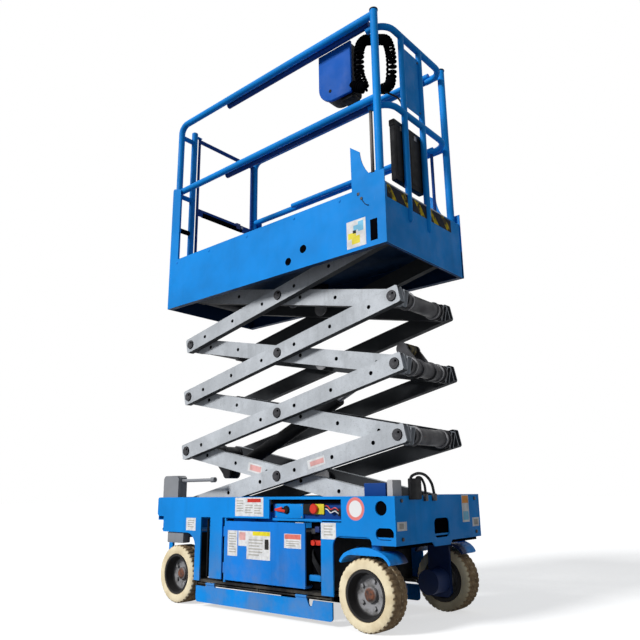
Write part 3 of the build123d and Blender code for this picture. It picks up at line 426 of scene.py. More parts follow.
def hazard_band(name):
    """Black band with slanting yellow bars, worn through in places."""
    g = Graph(name)
    x, y, z = g.position()
    slant = g.math("FRACT", g.times(g.math("ADD", y, g.times(z, 0.9)), 7.5))
    bars = g.inside(slant, 0.0, 0.36)
    worn = g.ramp(g.noise(20, 5, 0.6), 0.42, 0.56, 0.05, 0.9)
    ink = g.mix(g.times(bars, worn), (0.010, 0.012, 0.020), (0.62, 0.46, 0.02))
    return g.finish(ink, g.ramp(g.noise(30), 0.3, 0.7, 0.55, 0.75), gloss=0.05)


BLUE = (0.004, 0.265, 0.78)
GREY = (0.60, 0.63, 0.665)
BLACK = (0.007, 0.0075, 0.009)
SHADE = (0.006, 0.007, 0.012)
WHITE = (0.80, 0.80, 0.80)
RED = (0.62, 0.045, 0.03)
FADED_RED = (0.80, 0.42, 0.40)
YELLOW = (0.85, 0.72, 0.03)
TAN = (0.50, 0.48, 0.44)


def text_lines(low_x, high_x, low_z, high_z, count):
    """Stand-in for small print: thin lines, every third one shorter."""
    step = (high_z - low_z) / count
    return tuple((low_x, high_x - (0.25 * (high_x - low_x) if i % 3 == 2 else 0),
                  high_z - (i + 0.6) * step, high_z - (i + 0.15) * step, TAN) for i in range(count))


# labels of the chassis side and the tray's door lie in their materials, because these faces are at
# the CAD box's limit
side_prints = (
    (-0.123, 0.088, 0.469, 0.562, WHITE), (-0.030, 0.070, 0.538, 0.556, RED),
    *text_lines(-0.112, -0.060, 0.488, 0.550, 5), *text_lines(-0.045, 0.010, 0.480, 0.528, 4),
    *text_lines(0.022, 0.075, 0.478, 0.526, 4),
    (0.472, 0.561, 0.376, 0.448, WHITE), *text_lines(0.490, 0.542, 0.388, 0.438, 4),
    (-0.530, -0.446, 0.387, 0.454, WHITE), *text_lines(-0.515, -0.462, 0.400, 0.444, 4),
)
side_discs = ((0.676, 0.511, 0.050, (0.78, 0.22, 0.20)), (0.676, 0.511, 0.036, WHITE))
door_prints = (
    (-0.176, -0.101, 0.272, 0.397, WHITE), (-0.094, 0.139, 0.323, 0.397, WHITE),
    (-0.030, 0.139, 0.262, 0.323, WHITE), (0.013, 0.137, 0.376, 0.396, YELLOW),
    (-0.086, -0.040, 0.352, 0.390, FADED_RED), *text_lines(-0.015, 0.085, 0.275, 0.360, 6),
    (0.100, 0.128, 0.312, 0.360, BLACK), *text_lines(-0.166, -0.112, 0.284, 0.386, 8),
    (0.235, 0.346, 0.326, 0.392, WHITE), (0.238, 0.343, 0.368, 0.390, (0.78, 0.20, 0.16)),
    *text_lines(0.248, 0.332, 0.332, 0.362, 3),
)

# one look for each material slot, and the nodes that have their own
looks = {
    "blue_paint": painted("blue_enamel", BLUE, dusty=0.3),
    # painted shade: the arms' faces towards the machine's middle and their undersides are near black
    "arm_paint": painted("arm_enamel", GREY, roughness=0.6, worn=0.8, mottled=True, gloss=0.10,
                         inside=(0.010, 0.011, 0.013)),
    "dark_steel": painted("black_enamel", BLACK, roughness=0.6, gloss=0.12, worn=0.25, dusty=0.35),
    "steel": metal("pin_steel", (0.045, 0.045, 0.05), 0.5, 0.1, 0.4),
    "rod_chrome": metal("chrome_rod", (0.75, 0.75, 0.77), 0.2, 0.0),
    "tyre": tyre_rubber("cream_rubber"),
    "rim_paint": rim_paint("front_rim", FRONT_AXLE_X),
    "black_plastic": plastic("black_plastic", BLACK, 0.6, 0.12),
    "control_plastic": plastic("panel_plastic", (0.012, 0.035, 0.16), 0.5),
}
rear_rim = rim_paint("rear_rim", REAR_AXLE_X)
side_paint = painted("side_enamel", BLUE, dusty=0.3, prints=side_prints, discs=side_discs)
door_paint = painted("door_enamel", (0.008, 0.225, 0.76), worn=0.7, dusty=0.35, prints=door_prints)
# painted shade: faces of the decks that look down take the SHADE colour
deck_paint = painted("deck_enamel", BLUE, under_shade=SHADE, tread=True)
# painted shade: inner faces of the platform's sides and ends below the deck, and faces that look down, are
# near black
platform_paint = painted("platform_enamel", BLUE, worn=0.4, inside=(0.003, 0.008, 0.03), inner_shade_top=1.895)
# painted shade: the tracks under the platform and the chassis take the SHADE colour
track_shade = painted("track_shade_enamel", SHADE, roughness=0.7, worn=0.2, gloss=0.1)
# painted shade: the yokes are dark navy inboard of 0.27 m from the middle and blue outboard of 0.31 m
shaded_yoke_paint = split_paint("shaded_yoke_enamel", (0.004, 0.016, 0.07), BLUE, 1, 0.27, 0.31, both_sides=True)
post_paint = painted("post_enamel", (0.27, 0.28, 0.30), worn=0.8)
special = {
    "steer_yoke_near": shaded_yoke_paint, "steer_yoke_far": shaded_yoke_paint, "rear_post": post_paint,
    "chassis_sides": side_paint, "tray_near": door_paint, "platform_deck": deck_paint,
    "extension_deck": deck_paint, "platform_tracks": track_shade, "base_tracks": track_shade,
    "rim_rear_near": rear_rim, "rim_rear_far": rear_rim, "platform_sides": platform_paint,
    "platform_ends": platform_paint, "cylinder_rod": rod_metal("bright_rod", 1.235),
}
slot_of = {part["node"]: part["material_slot"] for part in frame["record"]["subparts"]}
for name, node in nodes.items():
    node.data.materials.clear()
    node.data.materials.append(special.get(name, looks[slot_of[name]]))

# looks of the pieces added below
black = looks["black_plastic"]
blue = looks["blue_paint"]
steel = looks["steel"]
navy_plastic = looks["control_plastic"]
# near black, both for the coiled cable and for painted shade: dark discs, strips and sheets where holes, gaps
# and openings lie in shadow
black_and_shadow = plastic("black_and_painted_shadow", (0.003, 0.003, 0.004), 0.9, 0.0)
white = plastic("label_white", WHITE, 0.55, 0.2)
red = plastic("red_knob", (0.70, 0.035, 0.015), 0.4)
yellow = plastic("yellow_plate", YELLOW, 0.5)
faded_red = plastic("faded_red", FADED_RED, 0.6, 0.1)
tan = plastic("faded_print", TAN, 0.6, 0.1)
orange = plastic("orange_print", (0.80, 0.30, 0.03), 0.5)
sky = plastic("sky_print", (0.18, 0.55, 0.80), 0.5)
# blue of painted shade, for blue parts that lie in shade: the control panel's recess, a block on the chassis,
# the near extension rail, the far extension post and the entry gate
shaded_blue = painted("shaded_enamel", (0.006, 0.055, 0.26), worn=0.4)
brass = metal("brass", (0.50, 0.40, 0.16), 0.4, 0.05)
zinc = metal("zinc_fitting", (0.24, 0.24, 0.25), 0.5, 0.12, 0.5)
pad = painted("worn_steel", (0.55, 0.55, 0.56), worn=0.7)
hazard = hazard_band("hazard_band")


# ---------------------------------------------------------------- mesh helpers
NEAR, UP, FRONT, REAR = (0, -1, 0), (0, 0, 1), (1, 0, 0), (-1, 0, 0)


def circle(middle, radius, across, other, sides):
    """Points of a circle in the plane of two directions."""
    turns = [2 * math.pi * i / sides for i in range(sides)]
    return [middle + radius * (math.cos(a) * across + math.sin(a) * other) for a in turns]


def smooth_path(points, steps=8):
    """Points of a Catmull-Rom line through the given points."""
    points = [Vector(point) for point in points]
    ends = [2 * points[0] - points[1]] + points + [2 * points[-1] - points[-2]]
    path = []
    for a, b, c, d in zip(ends, ends[1:], ends[2:], ends[3:]):
        for i in range(steps):
            t = i / steps
            path.append(0.5 * (2 * b + (c - a) * t + (2 * a - 5 * b + 4 * c - d) * t * t
                               + (3 * b - a - 3 * c + d) * t ** 3))
    return path + [points[-1]]


def bent(points, bend, steps=7):
    """Points of a line whose corners are turned with one bend radius."""
    points = [Vector(point) for point in points]
    path = [points[0]]
    for before, corner, after in zip(points, points[1:], points[2:]):
        back = (before - corner).normalized()
        ahead = (after - corner).normalized()
        half = back.angle(ahead) / 2
        centre = corner + (back + ahead).normalized() * bend / math.sin(half)
        first = (corner + back * bend / math.tan(half) - centre).normalized()
        last = (corner + ahead * bend / math.tan(half) - centre).normalized()
        path += [centre + bend * first.slerp(last, i / steps) for i in range(steps + 1)]
    return path + [points[-1]]


class Piece:
    """One dressed piece: mesh parts in absolute metres that ride a CAD body."""

    def __init__(self, name, body, slot, replaces=()):
        self.name, self.body, self.slot_name, self.replaced = name, body, slot, replaces
        self.form = bmesh.new()
        self.paints = []

    def paint(self, faces, look):
        if look not in self.paints:
            self.paints.append(look)
        for face in faces:
            face.material_index = self.paints.index(look)

    def block(self, look, low, high, bevel=0.0015, turn=None):
        """Block between two corners with softened edges, turned about its middle."""
        low, high = Vector(low), Vector(high)
        stretch = Matrix.Diagonal((*(high - low), 1))
        place = Matrix.Translation((low + high) / 2) @ (turn or Matrix()) @ stretch
        made = bmesh.ops.create_cube(self.form, size=1, matrix=place)["verts"]
        self.paint(dict.fromkeys(face for vert in made for face in vert.link_faces), look)
        if bevel:
            edges = list(dict.fromkeys(edge for vert in made for edge in vert.link_edges))
            bmesh.ops.bevel(self.form, geom=edges, offset=bevel, segments=2, profile=0.6, affect="EDGES",
                            clamp_overlap=True, material=-1)

    def rings(self, look, rings, closed=False):
        """Skin between rings of points; a ring of one point closes an end."""
        made = [[self.form.verts.new(point) for point in loop] for loop in rings]
        faces = []
        pairs = list(zip(made, made[1:])) + ([(made[-1], made[0])] if closed else [])
        for first, second in pairs:
            count = max(len(first), len(second))
            for i in range(count):
                j = (i + 1) % count
                corners = [first[i % len(first)], first[j % len(first)], second[j % len(second)],
                           second[i % len(second)]]
                loop = [corner for place, corner in enumerate(corners) if corner not in corners[:place]]
                if len(loop) > 2:
                    faces.append(self.form.faces.new(loop))
        if not closed:
            for loop in (made[0], made[-1]):
                if len(loop) > 2:
                    faces.append(self.form.faces.new(loop))
        self.paint(faces, look)

    def lathe(self, look, start, axis, profile, sides=28):
        """Turned form; profile lists (distance along the axis, radius)."""
        axis = Vector(axis).normalized()
        across = axis.orthogonal().normalized()
        other = axis.cross(across)
        rings = []
        for along, radius in profile:
            middle = Vector(start) + axis * along
            rings.append(circle(middle, radius, across, other, sides) if radius > 1e-6 else [middle])
        self.rings(look, rings)

    def stud(self, look, start, axis, *profile, sides=28):
        """Turned form, closed with a flat where its profile doesn't start or end on the axis."""
        if profile[0][1]:
            profile = ((profile[0][0], 0), *profile)
        if profile[-1][1]:
            profile = (*profile, (profile[-1][0], 0))
        self.lathe(look, start, axis, profile, sides)

    def rod(self, look, start, stop, radius, sides=20, edge=0.001):
        """Round bar with a small chamfer at its ends."""
        length = (Vector(stop) - Vector(start)).length
        self.stud(look, start, Vector(stop) - Vector(start), (0, radius - edge), (edge, radius),
                  (length - edge, radius), (length, radius - edge), sides=sides)

    def tube(self, look, points, radius, sides=10):
        """Round tube along points, its section carried along without twist."""
        points = [Vector(point) for point in points]
        heading = (points[1] - points[0]).normalized()
        across = heading.orthogonal().normalized()
        rings = []
        for i, point in enumerate(points):
            ahead = (points[min(i + 1, len(points) - 1)] - points[max(i - 1, 0)]).normalized()
            across = (across - ahead * across.dot(ahead)).normalized()
            rings.append(circle(point, radius, across, ahead.cross(across), sides))
        self.rings(look, rings)

    def done(self):
        """Make the object, hang it on its body, and hide the nodes it stands for."""
        bmesh.ops.recalc_face_normals(self.form, faces=self.form.faces[:])
        for face in self.form.faces:
            face.smooth = True
        mesh = bpy.data.meshes.new(self.name)
        self.form.to_mesh(mesh)
        self.form.free()
        mesh.set_sharp_from_angle(angle=math.radians(38))
        for look in self.paints:
            mesh.materials.append(look)
        piece = bpy.data.objects.new(self.name, mesh)
        bpy.context.scene.collection.objects.link(piece)
        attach(piece, self.body)
        if self.replaced:
            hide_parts(*self.replaced)


# ---------------------------------------------------------------- scissor stack
HOLE_PLACES = (-0.651, -0.390, -0.130, 0.130, 0.390, 0.651)
BOLT_HOLE = ((0, 0.0105), (0.0016, 0.0105), (0.0020, 0.0085), (0.0012, 0.0080))
PIN_DISC = ((0, 0.0275), (0.004, 0.0275), (0.0055, 0.0255))
PIN_FACE = ((0, 0.017), (0.0012, 0.016), (0.0012, 0.008), (0.0004, 0.006))
PIN_BOLT = ((0, 0.006), (0.003, 0.006), (0.004, 0.004))
PLATE_LIFT = 0.0006


def along_arm(stage, slope, distance):
    """X and Z of a point on an arm's middle line, by its distance from the centre pin."""
    pin_z = FIRST_PIN_Z + (stage - 0.5) * STAGE_RISE
    return CENTRE_PIN_X + distance * math.cos(ARM_ANGLE), pin_z + slope * distance * math.sin(ARM_ANGLE)


# bolt holes in the arms' faces, drawn as black discs of painted shade, and discs on the outer arms' pins
for stage in range(1, 5):
    for kind, slope in (("outer", 1), ("inner", -1)):
        trim = Piece(f"{kind}_trim_{stage}", f"{kind}_{stage}", "steel")
        for side in (-1, 1):
            outward = (0, side, 0)
            for distance in HOLE_PLACES:
                x, z = along_arm(stage, slope, distance)
                trim.stud(black_and_shadow, (x, side * (ARM_FACE[kind] - 0.001), z), outward, *BOLT_HOLE, sides=18)
            if kind == "inner":
                continue
            for distance in (-HALF_ARM, 0.0, HALF_ARM):
                x, z = along_arm(stage, slope, distance)
                trim.stud(black_and_shadow, (x, side * 0.2545, z), outward, *PIN_DISC)
                trim.stud(steel, (x, side * 0.2618, z), outward, *PIN_FACE, sides=24)
                trim.stud(black_and_shadow, (x + 0.011, side * 0.2620, z + 0.010), outward, *PIN_BOLT, sides=6)
        trim.done()

# labels on the lowest arms, each a plate and its print: (look, distance, half length, half height, lift)
for kind, slope, plates in (
        ("outer", 1, ((white, 0.285, 0.058, 0.022, 0.0002), (faded_red, 0.290, 0.046, 0.012, 0.0005))),
        ("inner", -1, ((white, -0.225, 0.056, 0.024, 0.0002), (faded_red, -0.220, 0.045, 0.015, 0.0005)))):
    labels = Piece(f"arm_labels_{kind}", f"{kind}_1", "arm_paint")
    lean = Matrix.Rotation(-slope * ARM_ANGLE, 4, "Y")
    for look, distance, half, tall, lift in plates:
        x, z = along_arm(1, slope, distance)
        labels.block(look, (x - half, -ARM_FACE[kind] - PLATE_LIFT - lift, z - tall),
                     (x + half, -ARM_FACE[kind], z + tall), 0, lean)
    labels.done()

# flanged collars on the cross tubes of the centre and end pins
for stage in range(1, 5):
    collars = Piece(f"tube_collars_{stage}", f"outer_{stage}", "steel")
    for distance in (0.0, HALF_ARM):
        x, z = along_arm(stage, 1, distance)
        for side in (-1, 1):
            collars.lathe(zinc, (x, side * 0.118, z), (0, side, 0),
                          [(0, 0.0405), (0, 0.047), (0.003, 0.048), (0.006, 0.047), (0.006, 0.0405)])
    collars.done()


# ---------------------------------------------------------------- wheels
TYRE_SECTION = [(-0.0500, 0.1042), (-0.0552, 0.1075), (-0.0566, 0.1180), (-0.0564, 0.1320), (-0.0535, 0.1440),
                (-0.0480, 0.1500), (-0.0420, 0.1522), (-0.0300, 0.1524), (-0.0180, 0.1525),
                (-0.0080, 0.1525), (-0.0040, 0.1525)]
TYRE_SECTION += [(-offset, radius) for offset, radius in reversed(TYRE_SECTION)]
LUGS, STEPS_PER_LUG, GAP_SHARE = 36, 6, 0.3
GROOVE_DEPTH, GAP_DEPTH = 0.003, 0.0042


def tyre(name, body, centre_x, side):
    """Solid tyre with a rounded shoulder, a groove round its middle and staggered lugs."""
    steps = LUGS * STEPS_PER_LUG
    rings = []
    for i in range(steps):
        turn = 2 * math.pi * i / steps
        loop = []
        for offset, radius in TYRE_SECTION:
            phase = (i / STEPS_PER_LUG + (0.5 if offset > 0 else 0)) % 1
            if 0.002 < abs(offset) < 0.006:
                radius -= GROOVE_DEPTH
            elif 0.012 < abs(offset) < 0.050 and phase < GAP_SHARE:
                radius -= GAP_DEPTH
            loop.append((centre_x + radius * math.sin(turn), side * TYRE_Y + offset,
                         WHEEL_RADIUS + radius * math.cos(turn)))
        rings.append(loop)
    piece = Piece(name, body, "tyre", (name.replace("rubber", "tyre"),))
    piece.rings(looks["tyre"], rings, closed=True)
    piece.done()


for end, centre_x in (("front", FRONT_AXLE_X), ("rear", REAR_AXLE_X)):
    for word, side in (("near", -1), ("far", 1)):
        tyre(f"rubber_{end}_{word}", f"wheel_{end}_{word}", centre_x, side)


# ---------------------------------------------------------------- chassis trim
# ground controls: key plate with its dial, stop button, switches and three leads
panel = Piece("ground_panel", "chassis", "control_plastic", ("ground_controls",))
# painted shade: the back panel in shaded blue and a black strip along its top stand for the shade in the
# recess
panel.block(shaded_blue, (0.132, -0.352, 0.450), (0.592, -0.338, 0.552))
panel.block(black_and_shadow, (0.132, -0.366, 0.534), (0.592, -0.352, 0.552))
panel.block(blue, (0.132, -0.360, 0.450), (0.592, -0.352, 0.462))
panel.block(blue, (0.158, -0.364, 0.463), (0.345, -0.352, 0.531), 0.003)
panel.stud(black, (0.236, -0.364, 0.503), NEAR, (0, 0.020), (0.006, 0.019), (0.010, 0.015))
for low, high, tilt in (((0.166, -0.3775, 0.494), (0.236, -0.371, 0.507), 6),
                        ((0.176, -0.3765, 0.503), (0.214, -0.370, 0.514), -14)):
    panel.block(red, low, high, 0.003, Matrix.Rotation(math.radians(tilt), 4, "Y"))
panel.block(black, (0.347, -0.366, 0.484), (0.402, -0.352, 0.531), 0.004)
panel.block(yellow, (0.400, -0.360, 0.484), (0.474, -0.352, 0.531), 0.002)
panel.stud(red, (0.417, -0.358, 0.508), NEAR, (0, 0.014), (0.006, 0.014), (0.007, 0.023), (0.012, 0.024),
           (0.017, 0.020), (0.019, 0))
panel.stud(black, (0.389, -0.364, 0.508), NEAR, (0, 0.015), (0.007, 0.013), sides=16)
for look, drop in ((red, 0.0), (black, 0.008), (white, 0.015)):
    lead = [(0.482, -0.356, 0.524), (0.505, -0.368, 0.520), (0.525, -0.370, 0.507), (0.548, -0.367, 0.514),
            (0.572, -0.362, 0.500), (0.586, -0.352, 0.503)]
    panel.tube(look, smooth_path([(x, y, z - drop) for x, y, z in lead]), 0.0028, 8)
panel.block(black, (0.560, -0.366, 0.478), (0.588, -0.352, 0.512), 0.003)
for x in (0.166, 0.337):
    for z in (0.470, 0.524):
        panel.stud(zinc, (x, -0.364, z), NEAR, (0, 0.004), (0.002, 0.0035), sides=10)
panel.done()

# dark sheets of painted shade behind the chassis side's openings and in the gaps under the chassis, and what
# shows in the bays
bay = Piece("bay_shade_and_parts", "chassis", "dark_steel")
bay.block(black_and_shadow, (0.372, -0.334, 0.150), (0.468, -0.330, 0.446))
bay.block(black_and_shadow, (-0.398, -0.300, 0.145), (-0.222, -0.296, 0.450))
bay.block(black_and_shadow, (0.745, -0.3712, 0.395), (0.882, -0.3695, 0.560))
bay.block(black_and_shadow, (0.8700, -0.360, 0.345), (0.8725, 0.360, 0.560))
bay.block(steel, (0.386, -0.352, 0.394), (0.412, -0.334, 0.418), 0.004)
bay.block(navy_plastic, (0.412, -0.356, 0.402), (0.440, -0.334, 0.428), 0.004)
bay.block(red, (0.378, -0.350, 0.342), (0.452, -0.334, 0.366), 0.006)
bay.stud(red, (0.400, -0.350, 0.354), NEAR, (0, 0.013), (0.008, 0.012), sides=20)
bay.block(blue, (0.372, -0.356, 0.186), (0.446, -0.334, 0.212), 0.003)
for drop in (0.0, 0.012, 0.026):
    bay.tube(black, smooth_path([(0.384, -0.334, 0.320 - drop), (0.396, -0.350, 0.300 - drop),
                                 (0.420, -0.352, 0.268 - drop), (0.438, -0.344, 0.238 - drop),
                                 (0.440, -0.334, 0.214)]), 0.0055)
bay.rod(black, (-0.384, -0.340, 0.150), (-0.384, -0.340, 0.448), 0.006)
bay.block(zinc, (-0.362, -0.330, 0.424), (-0.340, -0.300, 0.450), 0.003)
bay.block(black, (-0.372, -0.330, 0.155), (-0.335, -0.300, 0.178), 0.004)
# painted shadow: dark sheets in the gaps under the chassis side, where the floor would show through
bay.block(black_and_shadow, (-0.440, -0.246, 0.085), (0.465, -0.243, 0.160))
bay.block(black_and_shadow, (0.080, -0.242, 0.040), (0.270, -0.239, 0.160))
bay.block(black_and_shadow, (0.180, -0.371, 0.4445), (0.372, -0.340, 0.4500), 0)
bay.block(post_paint, (-0.712, -0.370, 0.316), (-0.566, -0.318, 0.374), 0.006)
bay.done()

beam = Piece("front_beam", "chassis", "blue_paint")
beam.block(black_and_shadow, (0.478, -0.3797, 0.4515), (0.752, -0.3780, 0.4555), 0)
beam.stud(brass, (0.742, -0.3725, 0.440), NEAR, (0, 0.011), (0.004, 0.011), (0.0072, 0.007), sides=18)
beam.done()

# bolt heads on the sides and the end plates, and the cap of the rear post's rod
SIDE_BOLT = ((0, 0.007), (0.0065, 0.0065), (0.0072, 0.005))
END_BOLT = ((0, 0.009), (0.006, 0.0085), (0.007, 0.006))
bolts = Piece("chassis_bolts", "chassis", "steel")
for x in (-0.70, -0.45, -0.20, 0.62, 0.86):
    for side in (-1, 1):
        bolts.stud(steel, (x, side * 0.3725, 0.548), (0, side, 0), *SIDE_BOLT, sides=6)
for y in (-0.33, 0.33):
    for z in (0.385, 0.545):
        for x, outward in ((0.889, FRONT), (-0.802, REAR)):
            bolts.stud(steel, (x, y, z), outward, *END_BOLT, sides=6)
bolts.stud(zinc, (-0.355, -0.341, 0.658), FRONT, (0, 0.011), (0.014, 0.011), (0.018, 0.008), sides=16)
bolts.done()

END_PLATE_X = 0.890
front_labels = Piece("front_labels", "chassis", "blue_paint")
for low_y, high_y, low_z, high_z, look, lift in (
        (-0.368, -0.294, 0.420, 0.457, white, 0.0004), (-0.352, -0.318, 0.428, 0.450, tan, 0.0008),
        (0.200, 0.269, 0.434, 0.563, white, 0.0004), (0.204, 0.265, 0.524, 0.558, orange, 0.0008),
        (0.208, 0.262, 0.444, 0.484, sky, 0.0008), (0.297, 0.366, 0.410, 0.452, white, 0.0004),
        (0.312, 0.352, 0.418, 0.444, tan, 0.0008)):
    front_labels.block(look, (END_PLATE_X - 0.0005, low_y, low_z), (END_PLATE_X + lift, high_y, high_z), 0)
front_labels.done()

# hydraulic fittings at the front end plate, where the lowered arms don't reach them
fittings = Piece("front_fittings", "chassis", "dark_steel")
fittings.block(pad, (0.835, -0.356, 0.556), (0.866, -0.284, 0.634), 0.006)
fittings.block(shaded_blue, (0.690, -0.330, 0.560), (0.810, -0.300, 0.622), 0.004)
fittings.block(black, (0.8870, -0.270, 0.548), (0.9045, -0.180, 0.640), 0.006)
fittings.block(steel, (0.8890, -0.076, 0.540), (0.9045, -0.052, 0.572), 0.003)
fittings.block(steel, (0.8890, -0.150, 0.540), (0.9040, -0.128, 0.570), 0.003)
long_hose = [(0.896, -0.262, 0.632), (0.897, -0.244, 0.651), (0.898, -0.190, 0.662), (0.898, -0.130, 0.652),
             (0.898, -0.085, 0.618), (0.897, -0.064, 0.568)]
short_hose = [(0.896, -0.215, 0.632), (0.897, -0.200, 0.644), (0.897, -0.170, 0.640), (0.897, -0.145, 0.610),
              (0.897, -0.139, 0.566)]
for hose, radius in ((long_hose, 0.0065), (short_hose, 0.006)):
    fittings.tube(black, smooth_path(hose), radius, 12)
fittings.done()


# ---------------------------------------------------------------- platform trim
SIDE_SHEET_Y = 0.3750
flank = Piece("platform_side_trim", "platform", "black_plastic")
for x, z, radius in ((0.365, 1.836, 0.021), (0.256, 1.791, 0.020)):
    for side in (-1, 1):
        flank.stud(black_and_shadow, (x, side * 0.3748, z), (0, side, 0), (0, radius + 0.002), (0.0016, radius + 0.001),
                   (0.0016, radius - 0.003), (0.0006, radius - 0.004))
flank.block(black_and_shadow, (0.810, -0.3764, 1.760), (0.852, -0.3748, 1.870), 0.0007)
for low_x, high_x, low_z, high_z, look, lift in (
        (0.663, 0.782, 1.751, 1.896, white, 0.0005), (0.672, 0.722, 1.800, 1.832, yellow, 0.0009),
        (0.694, 0.745, 1.770, 1.812, yellow, 0.0008), (0.706, 0.740, 1.842, 1.868, sky, 0.0009),
        (0.735, 0.768, 1.832, 1.884, sky, 0.0008), (0.702, 0.722, 1.826, 1.842, black, 0.0011)):
    flank.block(look, (low_x, -SIDE_SHEET_Y - lift, low_z), (high_x, -0.3745, high_z), 0)
flank.rod(steel, (0.762, -0.374, 2.000), (0.762, -0.3795, 2.000), 0.008)
flank.tube(black, smooth_path([(0.764, -0.3775, 1.996), (0.776, -0.3775, 1.975), (0.790, -0.3775, 1.958),
                               (0.806, -0.3772, 1.950)]), 0.0018, 8)
flank.block(steel, (0.735, -0.3780, 2.022), (0.750, -0.3745, 2.038), 0.002)
for x in (-0.74, -0.42, -0.08, 0.30, 0.62):
    for side in (-1, 1):
        flank.stud(blue, (x, side * 0.3745, 2.032), (0, side, 0), (0, 0.008), (0.003, 0.0075), (0.004, 0.005),
                   sides=18)
flank.done()

band = Piece("hazard_strip", "extension", "black_plastic")
band.block(hazard, (0.8995, -0.352, 1.975), (0.9006, 0.268, 2.046), 0)
band.block(pad, (0.8990, -0.360, 2.0475), (0.9012, 0.200, 2.0545), 0.0008)
band.done()

caps = Piece("post_caps", "platform", "black_plastic")
for y in (-POST_Y, POST_Y):
    caps.stud(black, (FRONT_POST_X, y, 3.0775), UP, (0, 0.0238), (0.006, 0.0235), (0.0083, 0.020), sides=24)
caps.done()


# ---------------------------------------------------------------- extension
# side rails that run back inside the platform's own, and the bent front rails
rails = Piece("extension_rails", "extension", "blue_paint", ("extension_front_rails", "extension_side_rails"))
for front_z, side_z, radius in ((3.014, 3.049, 0.018), (2.532, 2.545, 0.017)):
    corners = [(x, y, front_z) for x, y in (
        (0.780, -EXTENSION_RAIL_Y), (EXTENSION_POST_X, -EXTENSION_RAIL_Y),
        (EXTENSION_POST_X, EXTENSION_RAIL_Y), (0.780, EXTENSION_RAIL_Y))]
    rails.tube(blue, bent(corners, 0.090), radius, 18)
    # painted shade: the near side rail, under the platform's top rail, is in shaded blue
    for y, look in ((-EXTENSION_RAIL_Y, shaded_blue), (EXTENSION_RAIL_Y, blue)):
        rails.tube(look, [(-0.350, y, side_z), (0.22, y, side_z), (0.800, y, side_z)], radius, 18)
rails.done()

# corner posts up to the middle rail, the two middle posts and the sign between them
posts = Piece("extension_uprights", "extension", "blue_paint", ("extension_posts",))
sleeve = split_paint("post_sleeve", (0.010, 0.010, 0.012), (0.17, 0.145, 0.125), 2, 2.12, 2.40)
for y, look in ((-EXTENSION_RAIL_Y, sleeve), (EXTENSION_RAIL_Y, shaded_blue)):
    posts.rod(look, (0.787, y, 1.9065), (0.787, y, 2.545), 0.0095)
posts.block(black_and_shadow, (0.776, -0.318, 2.085), (0.800, -0.292, 2.150), 0.004)
for y in (-0.150, 0.030):
    posts.stud(blue, (EXTENSION_POST_X, y, 1.902), UP, (0, 0), (0.001, 0.006), (0.005, 0.012),
               (0.010, 0.0155), (0.017, 0.017), (1.112, 0.017), sides=24)
posts.block(blue, (0.8955, -0.150, 2.584), (0.8990, 0.030, 2.950), 0.001)
for y in (-0.128, 0.008):
    for z in (2.606, 2.928):
        posts.stud(steel, (0.899, y, z), FRONT, (0, 0.006), (0.003, 0.0055), sides=12)
posts.done()

# manual box in two halves side by side, each with a lid, a raised front and a catch
manual = Piece("manual_case", "extension", "black_plastic", ("manual_box",))
for low_y, high_y in ((-0.226, -0.098), (-0.092, 0.035)):
    middle_y = (low_y + high_y) / 2
    manual.block(black, (0.846, low_y, 2.125), (0.8795, high_y, 2.440), 0.007)
    manual.block(black, (0.844, low_y - 0.002, 2.438), (0.8797, high_y + 0.002, 2.476), 0.006)
    manual.block(black, (0.8790, low_y + 0.014, 2.150), (0.8812, high_y - 0.014, 2.415), 0.001)
    manual.block(zinc, (0.8785, middle_y - 0.012, 2.424), (0.8822, middle_y + 0.012, 2.452), 0.001)
manual.done()


def box_outline(shrink, y):
    """Side outline of the control box, its lower rear corner rounded."""
    rear, front = 0.414 + shrink, 0.648 - shrink
    floor, lid = 2.716 + shrink, 3.042 - shrink
    curve = 0.110 - shrink
    turns = [math.pi * (1 + i / 20) for i in range(11)]
    corner = [(rear + curve + curve * math.cos(a), floor + curve + curve * math.sin(a)) for a in turns]
    outline = [(rear, lid), *corner, (front - 0.012, floor), (front - 0.003, floor + 0.004),
               (front, floor + 0.014), (front, lid)]
    return [(x, y, z) for x, z in outline]


# control box: blue cover, black body, stick, stop button and plug
STICK = (0.505, -0.2300)
control = Piece("control_housing", "extension", "blue_paint", ("control_box",))
shell = painted("control_enamel", (0.003, 0.10, 0.47), worn=0.9)
control.rings(shell, [box_outline(0.003, -0.2857), box_outline(0.0, -0.2830), box_outline(0.0, -0.2700)])
control.rings(black, [box_outline(0.006, -0.2700), box_outline(0.006, -0.1780), box_outline(0.010, -0.1750)])
control.rod(black, (*STICK, 3.040), (*STICK, 3.070), 0.006)
control.stud(black, (*STICK, 3.039), UP, (0, 0.024), (0.006, 0.020), (0.012, 0.012), (0.022, 0.008))
control.stud(black, (*STICK, 3.0595), UP, (0, 0), (0.002, 0.009), (0.008, 0.012), (0.018, 0.012),
             (0.024, 0.008), (0.025, 0))
control.stud(red, (0.592, -0.2300, 3.040), UP, (0, 0.013), (0.008, 0.013), (0.009, 0.020), (0.017, 0.020),
             (0.021, 0.014), (0.022, 0))
control.stud(black, (0.500, -0.2852, 2.780), NEAR, (0, 0.010), (0.0035, 0.009), sides=14)
control.block(black, (0.556, -0.262, 2.698), (0.640, -0.190, 2.722), 0.006)
control.done()


